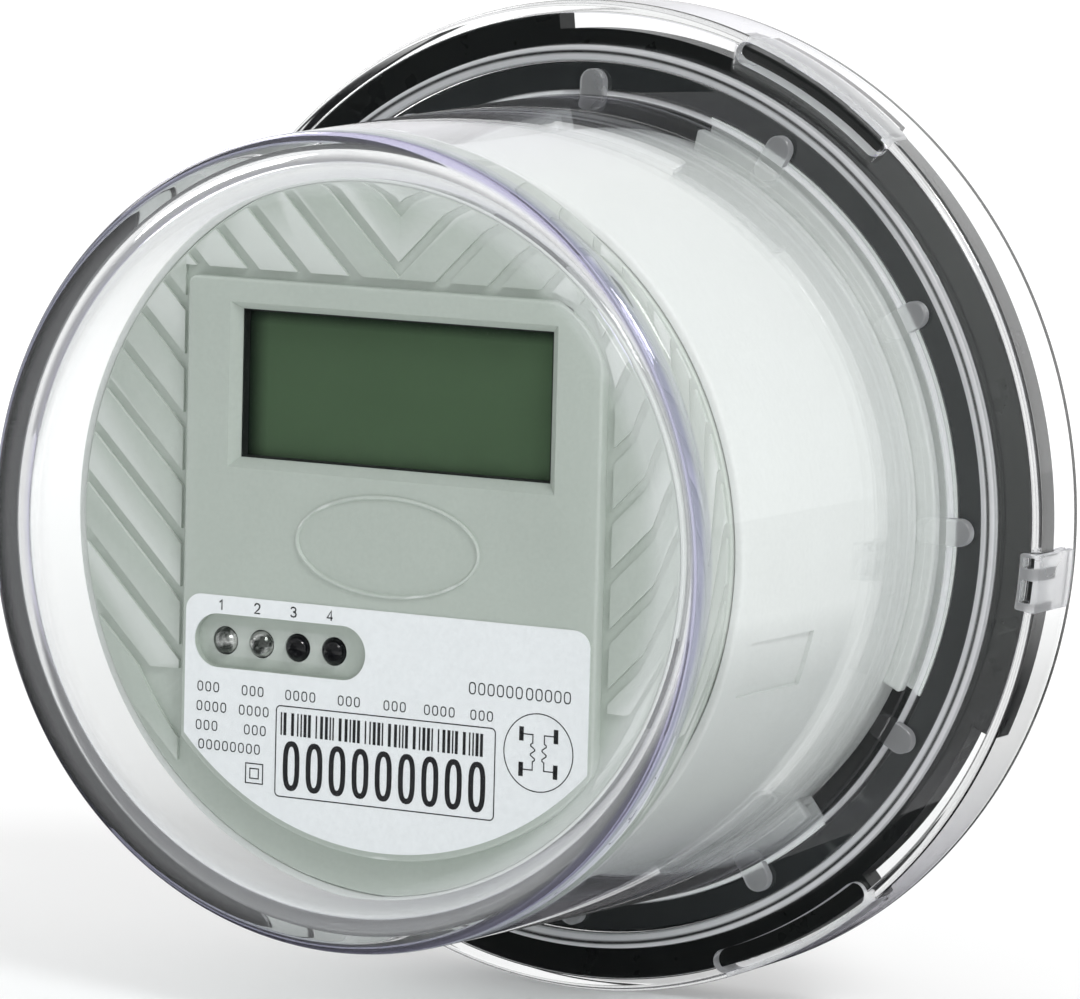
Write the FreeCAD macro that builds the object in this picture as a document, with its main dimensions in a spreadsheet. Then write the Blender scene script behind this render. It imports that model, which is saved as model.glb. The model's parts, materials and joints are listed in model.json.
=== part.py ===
# Socket-mounted electric meter: a clear twist-on cover over a pale instrument
# housing on a black base with four blades behind it.
# Millimetres. The meter faces -Y, +Z is up. The origin is on the meter's axis,
# in the plane of the rear edge of the cover's skirt. Angles go from +X towards +Z.
import FreeCAD, Part
import math
import os
import re

import Sketcher

os.makedirs("parts", exist_ok=True)

SIZES = {
    # cover: drum
    "rim_radius": 88.25,
    "skirt_inner": 86.28,
    "drum_foot_radius": 71.8,
    "drum_front_radius": 68.9,
    "drum_wall": 2.6,
    "cover_front": -102.5,
    "cover_front_thickness": 2.6,
    "front_edge_radius": 2.0,
    "inner_edge_radius": 7.0,
    # cover: flange
    "ledge_front": -16.3,
    "ledge_rear": -13.7,
    "bead_inner": 77.7,
    "bead_outer": 80.3,
    "bead_front": -17.0,
    "flange_front": -15.4,
    "flange_rear": -13.2,
    "bead_edge_radius": 0.55,
    "rim_edge_radius": 1.2,
    "peg_circle": 73.9,
    "peg_radius": 2.4,
    "peg_front": -18.0,
    "peg_count": 12,
    # bayonet, repeated three times
    "bayonet_count": 3,
    "slot_middle": 60.2,
    "slot_sweep": 19.6,
    "slot_radius": 85.3,
    "slot_half_width": 2.1,
    "slot_rear": -8.2,
    "shelf_inner": 83.7,
    "shelf_front": -7.4,
    "shelf_rear": -5.0,
    "shelf_middle": 60.5,
    "shelf_sweep": 19.0,
    "stop_inner": 83.7,
    "stop_rear": -8.0,
    "stop_middle": 193.4,
    "stop_sweep": 2.0,
    # base ring
    "ring_outer": 86.2,
    "ring_small": 83.2,
    "ring_front": -13.0,
    "ring_rear": -7.6,
    "ring_gap_middle": 84.0,
    "ring_gap_sweep": 24.0,
    "ring_step_radius": 1.2,
    # seal lug
    "seal_middle": 354.9,
    "seal_sweep": 6.6,
    "seal_inner": 85.2,
    "seal_outer": 89.2,
    "seal_front": -16.6,
    "seal_rear": -3.0,
    "window_inner": 85.9,
    "window_outer": 88.1,
    "window_floor": -9.0,
    "upper_window_middle": 357.2,
    "upper_window_sweep": 1.2,
    "lower_window_middle": 353.9,
    "lower_window_sweep": 2.6,
    "nub_middle": 119.4,
    "nub_sweep": 1.2,
    "nub_front": -9.4,
    "nub_rear": -7.4,
    # base
    "hub_radius": 76.0,
    "hub_rear": 6.0,
    "base_floor": 2.0,
    "cavity_radius": 60.0,
    "rear_web_depth": 2.4,
    "rear_web_inner": 60.0,
    "rear_web_outer": 71.0,
    "gasket_inner": 72.6,
    "gasket_outer": 77.2,
    # inner housing
    "housing_rear_radius": 65.0,
    "housing_front_radius": 63.8,
    "housing_bore": 62.2,
    "housing_front": -81.4,
    "housing_rear": -19.0,
    "housing_wall": 2.0,
    "foot_middle": 324.0,
    "foot_sweep": 24.0,
    "rear_flange_radius": 68.3,
    "rear_flange_depth": 2.5,
    "rear_flange_middle": 24.0,
    "rear_flange_sweep": 96.0,
    # faceplate
    "plate_radius": 62.0,
    "plate_front": -82.0,
    "plate_rear": -80.0,
    "pad_height": 0.7,
    "panel_front": -84.4,
    "panel_half_width": 40.4,
    "panel_top": 41.6,
    "panel_arc": 55.4,
    "panel_corner": 11.0,
    "panel_sharp_corner": 1.5,
    "panel_edge": 0.6,
    "gutter": 1.6,
    "chevron_pitch": 10.05,
    "chevron_groove": 1.9,
    "chevron_apex": 44.8,
    "window_half_width": 30.2,
    "window_bottom": 11.0,
    "window_top": 36.4,
    "bevel": 1.7,
    "bevel_depth": 1.5,
    "badge_width": 18.05,
    "badge_height": 8.7,
    "badge_middle": -2.0,
    "badge_rise": 0.35,
    "lamp_recess_middle": -20.7,
    "lamp_recess_half": 12.35,
    "lamp_recess_radius": 4.65,
    "lamp_recess_depth": 1.3,
    "lamp_row": -20.8,
    "lamp_first": -32.3,
    "lamp_pitch": 7.2,
    "lamp_radius": 2.35,
    "lamp_tip": -84.9,
    # nameplate
    "nameplate_front": -84.62,
    "nameplate_half_width": 39.5,
    "nameplate_top": -12.9,
    "nameplate_arc": 54.2,
    "nameplate_corner": 3.0,
    # display
    "display_glass_front": -80.95,
    "display_glass_rear": -78.2,
    "display_holder_rear": -73.0,
    "display_board_front": -72.6,
    "display_board_rear": -71.0,
    "display_board_radius": 54.0,
    # boards and blades
    "main_board_front": -43.6,
    "main_board_rear": -42.0,
    "blade_thickness": 2.4,
    "blade_width": 19.0,
    "blade_column": 31.75,
    "blade_row": 44.45,
    "blade_tip": 30.0,
    "blade_root": -14.0,
    "tang_width": 10.0,
    "bar_thickness": 3.0,
    "bar_width": 11.0,
}

doc = FreeCAD.newDocument("electric_meter")
sheet = doc.addObject("Spreadsheet::Sheet", "sizes")
for row, (alias, number) in enumerate(SIZES.items(), start=1):
    sheet.set(f"A{row}", alias)
    sheet.set(f"B{row}", str(number))
    sheet.setAlias(f"B{row}", alias)
doc.recompute()

FRONT_FACING = FreeCAD.Rotation(FreeCAD.Vector(1, 0, 0), 90)
nodes = {}


def bound(text):
    """An expression over the sheet's names, ready for setExpression."""
    return re.sub(r"[a-z]+_[a-z_]+|bevel|gutter", lambda word: "sizes." + word.group(0), str(text))


def size(alias):
    """The number that the sheet holds under an alias."""
    return float(sheet.get(alias))


def keep(label, thing):
    """Register an object as a finished sub-part."""
    thing.Label = label
    nodes[label] = thing
    return thing


# ---------------------------------------------------------------- bodies made of features


def new_body(label):
    body = doc.addObject("PartDesign::Body", label)
    return keep(label, body)


def origin_feature(body, role):
    return next(item for item in body.Origin.OriginFeatures if item.Role == role)


def section_sketch(body, name, middle=None):
    """A sketch in a plane through the meter's axis: x is the radius and y is the depth."""
    sketch = body.newObject("Sketcher::SketchObject", name)
    sketch.AttachmentSupport = [(origin_feature(body, "XY_Plane"), "")]
    sketch.MapMode = "FlatFace"
    if middle is not None:
        sketch.AttachmentOffset = FreeCAD.Placement(
            FreeCAD.Vector(), FreeCAD.Rotation(FreeCAD.Vector(0, -1, 0), 10)
        )
        sketch.setExpression("AttachmentOffset.Rotation.Angle", bound(middle))
    return sketch


def face_sketch(body, name, depth):
    """A sketch parallel to the faceplate at a depth: x is +X and y is +Z."""
    sketch = body.newObject("Sketcher::SketchObject", name)
    sketch.AttachmentSupport = [(origin_feature(body, "XZ_Plane"), "")]
    sketch.MapMode = "FlatFace"
    sketch.setExpression("AttachmentOffset.Base.z", bound(f"-({depth})"))
    return sketch


def pin_point(sketch, geometry, point, name, place):
    """Hold a point of a sketch at a place given by two expressions."""
    for kind, text in zip(("DistanceX", "DistanceY"), place):
        index = sketch.addConstraint(Sketcher.Constraint(kind, geometry, point, 1.0))
        sketch.renameConstraint(index, f"{kind}_{name}")
        sketch.setExpression(f"Constraints.{kind}_{name}", bound(text))


def draw_outline(sketch, corners):
    """A closed polygon whose corners are pairs of expressions."""
    first = sketch.GeometryCount
    count = len(corners)
    places = [
        FreeCAD.Vector(math.cos(math.tau * k / count), math.sin(math.tau * k / count), 0)
        for k in range(count)
    ]
    for k in range(count):
        sketch.addGeometry(Part.LineSegment(places[k], places[(k + 1) % count]), False)
    for k in range(count):
        following = first + (k + 1) % count
        sketch.addConstraint(Sketcher.Constraint("Coincident", first + k, 2, following, 1))
    for k, corner in enumerate(corners):
        pin_point(sketch, first + k, 1, f"corner{first + k}", corner)


def draw_rectangle(sketch, left, right, low, high):
    draw_outline(sketch, [(left, low), (right, low), (right, high), (left, high)])


def draw_circle(sketch, x, z, radius):
    index = sketch.addGeometry(
        Part.Circle(FreeCAD.Vector(0, 0, 0), FreeCAD.Vector(0, 0, 1), 1.0), False
    )
    pin_point(sketch, index, 3, f"centre{index}", (x, z))
    constraint = sketch.addConstraint(Sketcher.Constraint("Radius", index, 1.0))
    sketch.renameConstraint(constraint, f"radius{index}")
    sketch.setExpression(f"Constraints.radius{index}", bound(radius))


def revolve(body, name, corners, middle=None, sweep=None, cut=False):
    """Turn a section about the meter's axis, all the way round or over a sweep."""
    sketch = section_sketch(body, name + "_section", middle)
    draw_outline(sketch, corners)
    kind = "PartDesign::Groove" if cut else "PartDesign::Revolution"
    feature = body.newObject(kind, name)
    feature.Profile = sketch
    feature.ReferenceAxis = (sketch, ["V_Axis"])
    if sweep is not None:
        feature.Midplane = True
        feature.setExpression("Angle", bound(sweep))
    body.Tip = feature
    return feature


def extrude(body, name, draw, rear, front, cut=False):
    """Pad or pocket an outline between two depths; draw puts it on the sketch."""
    sketch = face_sketch(body, name + "_outline", rear)
    draw(sketch)
    feature = body.newObject("PartDesign::Pocket" if cut else "PartDesign::Pad", name)
    feature.Profile = sketch
    feature.setExpression("Length", bound(f"({rear}) - ({front})"))
    feature.Reversed = cut
    body.Tip = feature
    return feature


def repeat_round(body, name, originals, count):
    """Repeat features about the meter's axis."""
    pattern = body.newObject("PartDesign::PolarPattern", name)
    pattern.Originals = originals
    pattern.Axis = (origin_feature(body, "Y_Axis"), [""])
    pattern.Angle = 360
    pattern.setExpression("Occurrences", bound(count))
    body.Tip = pattern
    return pattern


def round_edges(body, name, radius, wanted):
    """Fillet the edges of the tip that the test wanted(edge) picks."""
    doc.recompute()
    tip = body.Tip
    names = [f"Edge{k}" for k, edge in enumerate(tip.Shape.Edges, start=1) if wanted(edge)]
    fillet = body.newObject("PartDesign::Fillet", name)
    fillet.Base = (tip, names)
    fillet.setExpression("Radius", bound(radius))
    body.Tip = fillet
    return fillet


def is_ring(edge, radius, depth):
    """True for a full circle about the meter's axis with this radius at this depth."""
    curve = edge.Curve
    if not isinstance(curve, Part.Circle):
        return False
    return abs(curve.Radius - radius) < 0.02 and abs(curve.Center.y - depth) < 0.02


# ---------------------------------------------------------------- primitives and booleans


def place(thing, x, y, z, rotation=None):
    thing.Placement = FreeCAD.Placement(FreeCAD.Vector(0, 0, 0), rotation or FreeCAD.Rotation())
    for axis, text in zip("xyz", (x, y, z)):
        thing.setExpression(f"Placement.Base.{axis}", bound(text))
    return thing


def block(name, x0, x1, y0, y1, z0, z1):
    """A box between six planes, each an expression."""
    thing = doc.addObject("Part::Box", name)
    for side, low, high in (("Length", x0, x1), ("Width", y0, y1), ("Height", z0, z1)):
        thing.setExpression(side, bound(f"({high}) - ({low})"))
    return place(thing, x0, y0, z0)


def rod(name, x, z, radius, rear, front):
    """A cylinder along the depth, from its rear to its front."""
    thing = doc.addObject("Part::Cylinder", name)
    thing.setExpression("Radius", bound(radius))
    thing.setExpression("Height", bound(f"({rear}) - ({front})"))
    return place(thing, x, rear, z, FRONT_FACING)


def upright(name, x, y, radius, low, high):
    """A cylinder along Z."""
    thing = doc.addObject("Part::Cylinder", name)
    thing.setExpression("Radius", bound(radius))
    thing.setExpression("Height", bound(f"({high}) - ({low})"))
    return place(thing, x, y, low)


def crosswise(name, y, z, radius, left, right):
    """A cylinder along X."""
    thing = doc.addObject("Part::Cylinder", name)
    thing.setExpression("Radius", bound(radius))
    thing.setExpression("Height", bound(f"({right}) - ({left})"))
    return place(thing, left, y, z, FreeCAD.Rotation(FreeCAD.Vector(0, 1, 0), 90))


def ball(name, x, y, z, radius):
    thing = doc.addObject("Part::Sphere", name)
    thing.setExpression("Radius", bound(radius))
    return place(thing, x, y, z)


def cut(name, base, *tools):
    """Take the tools away from the base."""
    tool = tools[0] if len(tools) == 1 else join(name + "_tools", *tools)
    thing = doc.addObject("Part::Cut", name)
    thing.Base = base
    thing.Tool = tool
    return thing


def join(name, *shapes):
    thing = doc.addObject("Part::MultiFuse", name)
    thing.Shapes = list(shapes)
    return thing


def group(name, *shapes):
    """Separate solids that share one node."""
    thing = doc.addObject("Part::Compound", name)
    thing.Links = list(shapes)
    return thing


# ---------------------------------------------------------------- cover


def make_cover():
    body = new_body("cover")
    drum_front_inner = "drum_front_radius - drum_wall"
    drum_foot_inner = "drum_foot_radius - drum_wall"
    revolve(body, "cover_shell", [
        ("0", "cover_front"),
        ("drum_front_radius", "cover_front"),
        ("drum_foot_radius", "ledge_front"),
        ("bead_inner", "ledge_front"),
        ("bead_inner", "bead_front"),
        ("bead_outer", "bead_front"),
        ("bead_outer", "flange_front"),
        ("rim_radius", "flange_front"),
        ("rim_radius", "0"),
        ("skirt_inner", "0"),
        ("skirt_inner", "flange_rear"),
        ("bead_inner", "flange_rear"),
        ("bead_inner", "ledge_rear"),
        (drum_foot_inner, "ledge_rear"),
        (drum_front_inner, "cover_front + cover_front_thickness"),
        ("0", "cover_front + cover_front_thickness"),
    ])
    inner_front = size("cover_front") + size("cover_front_thickness")
    inner_radius = size("drum_front_radius") - size("drum_wall")
    bead_edges = [(size("bead_inner"), size("bead_front")), (size("bead_outer"), size("bead_front"))]
    round_edges(body, "front_round", "front_edge_radius",
                lambda edge: is_ring(edge, size("drum_front_radius"), size("cover_front")))
    round_edges(body, "inner_round", "inner_edge_radius",
                lambda edge: is_ring(edge, inner_radius, inner_front))
    round_edges(body, "bead_round", "bead_edge_radius",
                lambda edge: any(is_ring(edge, *wanted) for wanted in bead_edges))
    round_edges(body, "rim_round", "rim_edge_radius",
                lambda edge: is_ring(edge, size("rim_radius"), size("flange_front")))
    make_cover_pegs(body)
    make_cover_bayonet(body)
    make_seal_lug(body)


def make_cover_pegs(body):
    peg = extrude(body, "peg", lambda sketch: draw_circle(sketch, "peg_circle", "0", "peg_radius"),
                  "ledge_front + 0.5", "peg_front")
    repeat_round(body, "pegs", [peg], "peg_count")


def make_cover_bayonet(body):
    shelf = revolve(body, "shelf", [
        ("shelf_inner", "shelf_front"),
        ("skirt_inner + 0.4", "shelf_front"),
        ("skirt_inner + 0.4", "shelf_rear"),
        ("shelf_inner", "shelf_rear"),
    ], "shelf_middle", "shelf_sweep")
    revolve(body, "stop", [
        ("stop_inner", "flange_rear - 0.4"),
        ("skirt_inner + 0.4", "flange_rear - 0.4"),
        ("skirt_inner + 0.4", "stop_rear"),
        ("stop_inner", "stop_rear"),
    ], "stop_middle", "stop_sweep")
    slot = revolve(body, "slot", [
        ("slot_radius - slot_half_width", "flange_front - 1"),
        ("slot_radius + slot_half_width", "flange_front - 1"),
        ("slot_radius + slot_half_width", "slot_rear"),
        ("slot_radius - slot_half_width", "slot_rear"),
    ], "slot_middle", "slot_sweep", cut=True)
    ends = []
    for side, sign in (("left", "+"), ("right", "-")):
        angle = f"(slot_middle {sign} slot_sweep / 2) * 1 deg"
        centre = (f"slot_radius * cos({angle})", f"slot_radius * sin({angle})")
        ends.append(extrude(
            body, f"slot_{side}_end",
            lambda sketch, centre=centre: draw_circle(sketch, *centre, "slot_half_width"),
            "slot_rear", "flange_front - 1", cut=True))
    repeat_round(body, "bayonets", [shelf, slot, *ends], "bayonet_count")


def make_seal_lug(body):
    revolve(body, "seal_lug", [
        ("seal_inner", "seal_front"),
        ("seal_outer", "seal_front"),
        ("seal_outer", "seal_rear"),
        ("skirt_inner + 0.4", "seal_rear"),
        ("skirt_inner + 0.4", "flange_rear - 0.6"),
        ("seal_inner", "flange_rear - 0.6"),
    ], "seal_middle", "seal_sweep")
    for name in ("upper_window", "lower_window"):
        revolve(body, name, [
            ("window_inner", "seal_front - 1"),
            ("window_outer", "seal_front - 1"),
            ("window_outer", "window_floor"),
            ("window_inner", "window_floor"),
        ], name + "_middle", name + "_sweep", cut=True)
    revolve(body, "nub", [
        ("rim_radius - 0.6", "nub_front"),
        ("seal_outer", "nub_front"),
        ("seal_outer", "nub_rear"),
        ("rim_radius - 0.6", "nub_rear"),
    ], "nub_middle", "nub_sweep")


# ---------------------------------------------------------------- base and gasket

BLADES = {
    "blade_line": ("-blade_column", "blade_row"),
    "blade_load": ("-blade_column", "-blade_row"),
    "blade_neutral_upper": ("blade_column", "blade_row"),
    "blade_neutral_lower": ("blade_column", "-blade_row"),
}
BOARD_POSTS = [(-42, 25), (42, 25), (-42, -25), (42, -25)]
HOUSING_SCREW_ANGLES = (84, 204, 324)
HOUSING_SCREW_CIRCLE = 56.5


def polar_place(circle, degrees):
    """The x and z of a place on a circle about the axis."""
    return circle * math.cos(math.radians(degrees)), circle * math.sin(math.radians(degrees))


def is_ring_step(edge):
    """True for the corners, along the depth, where the ring steps out to its full radius."""
    if len(edge.Vertexes) != 2:
        return False
    first, last = edge.Vertexes[0].Point, edge.Vertexes[1].Point
    straight = math.hypot(first.x - last.x, first.z - last.z) < 0.01
    return straight and abs(math.hypot(first.x, first.z) - size("ring_outer")) < 0.05


def make_base():
    body = new_body("base")
    revolve(body, "base_disc", [
        ("0", "base_floor"),
        ("cavity_radius", "base_floor"),
        ("cavity_radius", "ring_front"),
        ("ring_outer", "ring_front"),
        ("ring_outer", "ring_rear"),
        ("hub_radius", "ring_rear"),
        ("hub_radius", "hub_rear"),
        ("0", "hub_rear"),
    ])
    round_edges(body, "hub_round", "rim_edge_radius",
                lambda edge: is_ring(edge, size("hub_radius"), size("hub_rear")))
    gap = revolve(body, "ring_gap", [
        ("ring_small", "ring_front - 1"),
        ("ring_outer + 1", "ring_front - 1"),
        ("ring_outer + 1", "ring_rear + 1"),
        ("ring_small", "ring_rear + 1"),
    ], "ring_gap_middle", "ring_gap_sweep", cut=True)
    repeat_round(body, "ring_gaps", [gap], "bayonet_count")
    round_edges(body, "ring_step_round", "ring_step_radius", is_ring_step)
    make_rear_pockets(body)
    make_base_posts(body)
    make_passages(body, "blade_passages", "blade_width", "hub_rear + 1", "base_floor")
    make_passages(body, "tang_passages", "tang_width", "base_floor + 1", "base_floor - 4")


def make_passages(body, name, width, rear, front):
    """Four upright slits, one for each blade."""
    def draw_slits(sketch):
        for x, z in BLADES.values():
            draw_rectangle(sketch, f"({x}) - blade_thickness / 2", f"({x}) + blade_thickness / 2",
                           f"({z}) - {width} / 2", f"({z}) + {width} / 2")
    extrude(body, name, draw_slits, rear, front, cut=True)


def make_rear_pockets(body):
    """Twelve shallow pockets between the webs behind the base's rim."""
    pocket = revolve(body, "rear_pocket", [
        ("rear_web_inner + 3", "hub_rear - rear_web_depth"),
        ("rear_web_outer", "hub_rear - rear_web_depth"),
        ("rear_web_outer", "hub_rear + 1"),
        ("rear_web_inner + 3", "hub_rear + 1"),
    ], "seal_middle", "25", cut=True)
    repeat_round(body, "rear_pockets", [pocket], "peg_count")


def make_base_posts(body):
    """Posts for the main board, bosses for the housing and a collar round each blade."""
    def draw_posts(sketch):
        for x, z in BOARD_POSTS:
            draw_circle(sketch, x, z, 3.2)
    extrude(body, "board_posts", draw_posts, "base_floor + 0.5", "main_board_rear")

    def draw_bosses(sketch):
        for degrees in HOUSING_SCREW_ANGLES:
            draw_circle(sketch, *polar_place(HOUSING_SCREW_CIRCLE, degrees), 3.0)
    extrude(body, "housing_bosses", draw_bosses, "base_floor + 0.5", "ring_front")

    def draw_collars(sketch):
        for x, z in BLADES.values():
            draw_rectangle(sketch, f"({x}) - 4.5", f"({x}) + 4.5",
                           f"({z}) - tang_width / 2 - 2", f"({z}) + tang_width / 2 + 2")
    extrude(body, "blade_collars", draw_collars, "base_floor + 0.5", "base_floor - 3")

    def draw_post_bores(sketch):
        for x, z in BOARD_POSTS:
            draw_circle(sketch, x, z, 1.25)
    extrude(body, "board_post_bores", draw_post_bores, "main_board_rear + 9", "main_board_rear", cut=True)

    def draw_boss_bores(sketch):
        for degrees in HOUSING_SCREW_ANGLES:
            draw_circle(sketch, *polar_place(HOUSING_SCREW_CIRCLE, degrees), 1.45)
    extrude(body, "housing_boss_bores", draw_boss_bores, "ring_front + 9", "ring_front", cut=True)


def make_gasket():
    body = new_body("cover_gasket")
    revolve(body, "gasket_ring", [
        ("gasket_inner", "ledge_rear"),
        ("gasket_outer", "ledge_rear"),
        ("gasket_outer", "ring_front"),
        ("gasket_inner", "ring_front"),
    ])


# ---------------------------------------------------------------- inner housing


def make_inner_housing():
    body = new_body("inner_housing")
    revolve(body, "housing_drum", [
        ("housing_bore", "housing_front"),
        ("housing_front_radius", "housing_front"),
        ("housing_rear_radius", "housing_rear"),
        ("housing_rear_radius - housing_wall", "housing_rear"),
        ("housing_bore - 0.2", "plate_rear + 6"),
        ("housing_bore - 2.4", "plate_rear + 4"),
        ("housing_bore - 2.4", "plate_rear"),
        ("housing_bore", "plate_rear"),
    ])
    foot = revolve(body, "foot", [
        ("housing_rear_radius - housing_wall", "housing_rear - 1"),
        ("housing_rear_radius", "housing_rear - 1"),
        ("housing_rear_radius", "ring_front"),
        ("housing_rear_radius - housing_wall", "ring_front"),
    ], "foot_middle", "foot_sweep")
    flange = revolve(body, "foot_flange", [
        (f"{HOUSING_SCREW_CIRCLE} - 3.2", "ring_front - 2"),
        ("housing_rear_radius - 0.5", "ring_front - 2"),
        ("housing_rear_radius - 0.5", "ring_front"),
        (f"{HOUSING_SCREW_CIRCLE} - 3.2", "ring_front"),
    ], "foot_middle", "9")
    x, z = polar_place(HOUSING_SCREW_CIRCLE, size("foot_middle"))
    hole = extrude(body, "foot_hole", lambda sketch: draw_circle(sketch, x, z, 1.7),
                   "ring_front + 1", "ring_front - 3", cut=True)
    rear_flange = revolve(body, "rear_flange", [
        ("housing_rear_radius - housing_wall", "housing_rear"),
        ("rear_flange_radius", "housing_rear"),
        ("rear_flange_radius", "housing_rear + rear_flange_depth"),
        ("housing_rear_radius - housing_wall", "housing_rear + rear_flange_depth"),
    ], "rear_flange_middle", "rear_flange_sweep")
    repeat_round(body, "feet", [foot, flange, hole, rear_flange], "bayonet_count")
    recess = revolve(body, "side_recess", [
        ("housing_front_radius - 0.4", "-75"),
        ("housing_rear_radius + 3", "-75"),
        ("housing_rear_radius + 3", "-53"),
        ("housing_front_radius + 0.3", "-53"),
    ], "343.5", "8.6", cut=True)
    repeat_round(body, "side_recesses", [recess], "2")


# ---------------------------------------------------------------- faceplate


def disc_tool(name, radius, rear, front):
    return rod(name, "0", "0", radius, rear, front)


def bowl_panel(name, half_width, top, rear, front, arc):
    """A panel with straight sides, a top edge and a lower arc about the axis."""
    slab = block(name + "_slab", f"-({half_width})", half_width, front, rear, "-plate_radius", top)
    bowl = disc_tool(name + "_bowl", arc, rear, front)
    if size(top) > 0:
        upper = block(name + "_upper", f"-({half_width})", half_width, front, rear, "0", top)
        bowl = join(name + "_bowl_and_top", bowl, upper)
    common = doc.addObject("Part::MultiCommon", name)
    common.Shapes = [slab, bowl]
    return common


def fillet_corner(name, base, corners):
    """Round the edges along the depth that pass through the given x and z."""
    doc.recompute()
    rounds = []
    for index, edge in enumerate(base.Shape.Edges, start=1):
        first, last = edge.Vertexes[0].Point, edge.Vertexes[-1].Point
        along_depth = abs(first.x - last.x) < 0.01 and abs(first.z - last.z) < 0.01
        for x, z, radius in corners:
            if along_depth and abs(first.x - x) < 0.05 and abs(first.z - z) < 0.05:
                rounds.append((index, radius, radius))
    if len(rounds) != len(corners):
        raise RuntimeError(f"{name}: {len(rounds)} of {len(corners)} corners found")
    thing = doc.addObject("Part::Fillet", name)
    thing.Base = base
    thing.Edges = rounds
    return thing


def chevron_grooves():
    """Slanted channels between the raised pads, mirrored about the centre line."""
    channels = []
    reach = 90
    rise = size("pad_height") + 0.3
    for step in range(-2, 15):
        for side in (-1, 1):
            channel = doc.addObject("Part::Box", f"channel_{step + 2}_{'left' if side < 0 else 'right'}")
            channel.Length = reach
            channel.setExpression("Width", bound("chevron_groove"))
            channel.Height = rise
            turn = FreeCAD.Rotation(FreeCAD.Vector(0, -1, 0), 45 if side > 0 else 135)
            flat = FreeCAD.Rotation(FreeCAD.Vector(1, 0, 0), 90)
            apex = size("chevron_apex") - step * size("chevron_pitch")
            half = size("chevron_groove") / 2
            drop = half * math.sqrt(2)
            start = FreeCAD.Vector(0, size("plate_front"), apex - side * drop)
            channel.Placement = FreeCAD.Placement(start, turn.multiply(flat))
            channels.append(channel)
    return channels


def make_pads():
    """Raised chevron pads round the panel, all of one height."""
    front = "plate_front - pad_height"
    disc = disc_tool("pad_disc", "plate_radius - 0.6", "plate_front", front)
    gutter_block = block("pad_gutter", "-(panel_half_width + gutter)", "panel_half_width + gutter",
                         "plate_front - 2", "plate_front + 1", "-70", "panel_top + gutter")
    lower_disc = disc_tool("pad_lower", "panel_arc + gutter", "plate_front + 1", "plate_front - 2")
    lower_half = block("pad_lower_half", "-70", "70", "plate_front - 2", "plate_front + 1", "-70", "-28")
    lower = doc.addObject("Part::MultiCommon", "pad_lower_cut")
    lower.Shapes = [lower_disc, lower_half]
    below = block("pad_below", "-70", "70", "plate_front - 2", "plate_front + 1", "-70", "-43")
    return cut("pads", disc, gutter_block, lower, below, *chevron_grooves())


def make_faceplate():
    half = size("panel_half_width")
    top = size("panel_top")
    disc = disc_tool("plate_disc", "plate_radius", "plate_rear", "plate_front")
    square_panel = bowl_panel("panel_square", "panel_half_width", "panel_top",
                              "plate_rear", "panel_front", "panel_arc")
    panel = fillet_corner("panel_rounded", square_panel, [
        (half, top, size("panel_corner")),
        (-half, top, size("panel_sharp_corner")),
    ])
    badge = doc.addObject("Part::Feature", "badge")
    ellipse = Part.Ellipse(FreeCAD.Vector(0, 0, 0), size("badge_width"), size("badge_height"))
    outline = Part.Face(Part.Wire([ellipse.toShape()]))
    inner = Part.Ellipse(FreeCAD.Vector(0, 0, 0), size("badge_width") - 0.7, size("badge_height") - 0.7)
    field = Part.Face(Part.Wire([inner.toShape()]))
    rise = size("badge_rise")
    raised = outline.extrude(FreeCAD.Vector(0, 0, rise + 0.2))
    sunk = field.extrude(FreeCAD.Vector(0, 0, rise))
    sunk.translate(FreeCAD.Vector(0, 0, rise * 0.55 + 0.2))
    badge.Shape = raised.cut(sunk)
    badge.Placement = FreeCAD.Placement(
        FreeCAD.Vector(0, size("panel_front") + 0.2, size("badge_middle")), FRONT_FACING)
    solid = join("plate_solid", disc, panel, make_pads(), badge, *plate_bosses())
    window = block("window_hole", "-window_half_width", "window_half_width",
                   "panel_front - 1", "plate_rear + 1", "window_bottom", "window_top")
    keep("faceplate", cut("faceplate", solid, window, window_bevel(), glass_seat(),
                          lamp_recess(), *lamp_holes(), *boss_bores()))


DISPLAY_POSTS = [(-46.5, 10), (46.5, 10), (-30, -40), (30, -40)]


def plate_bosses():
    return [rod(f"plate_boss_{k}", x, z, "2.6", "display_board_front", "plate_rear - 0.5")
            for k, (x, z) in enumerate(DISPLAY_POSTS)]


def boss_bores():
    return [rod(f"plate_boss_bore_{k}", x, z, "0.95", "display_board_front", "display_board_front - 6")
            for k, (x, z) in enumerate(DISPLAY_POSTS)]


def window_bevel():
    """The sloping frame of the display window, as a loft between two rectangles."""
    half = size("window_half_width")
    low, high = size("window_bottom"), size("window_top")
    slope = size("bevel")

    def rectangle(grow, depth):
        corners = [(-half - grow, low - grow), (half + grow, low - grow),
                   (half + grow, high + grow * 0.7), (-half - grow, high + grow * 0.7)]
        points = [FreeCAD.Vector(x, depth, z) for x, z in corners]
        return Part.makePolygon(points + points[:1])

    front = size("panel_front")
    thing = doc.addObject("Part::Feature", "window_bevel")
    thing.Shape = Part.makeLoft(
        [rectangle(slope, front - 0.001), rectangle(0, front + size("bevel_depth"))], True, True)
    return thing


def glass_seat():
    return block("glass_seat", "-34.4", "34.4", "display_glass_front", "plate_rear + 1", "5.6", "41.4")


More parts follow.
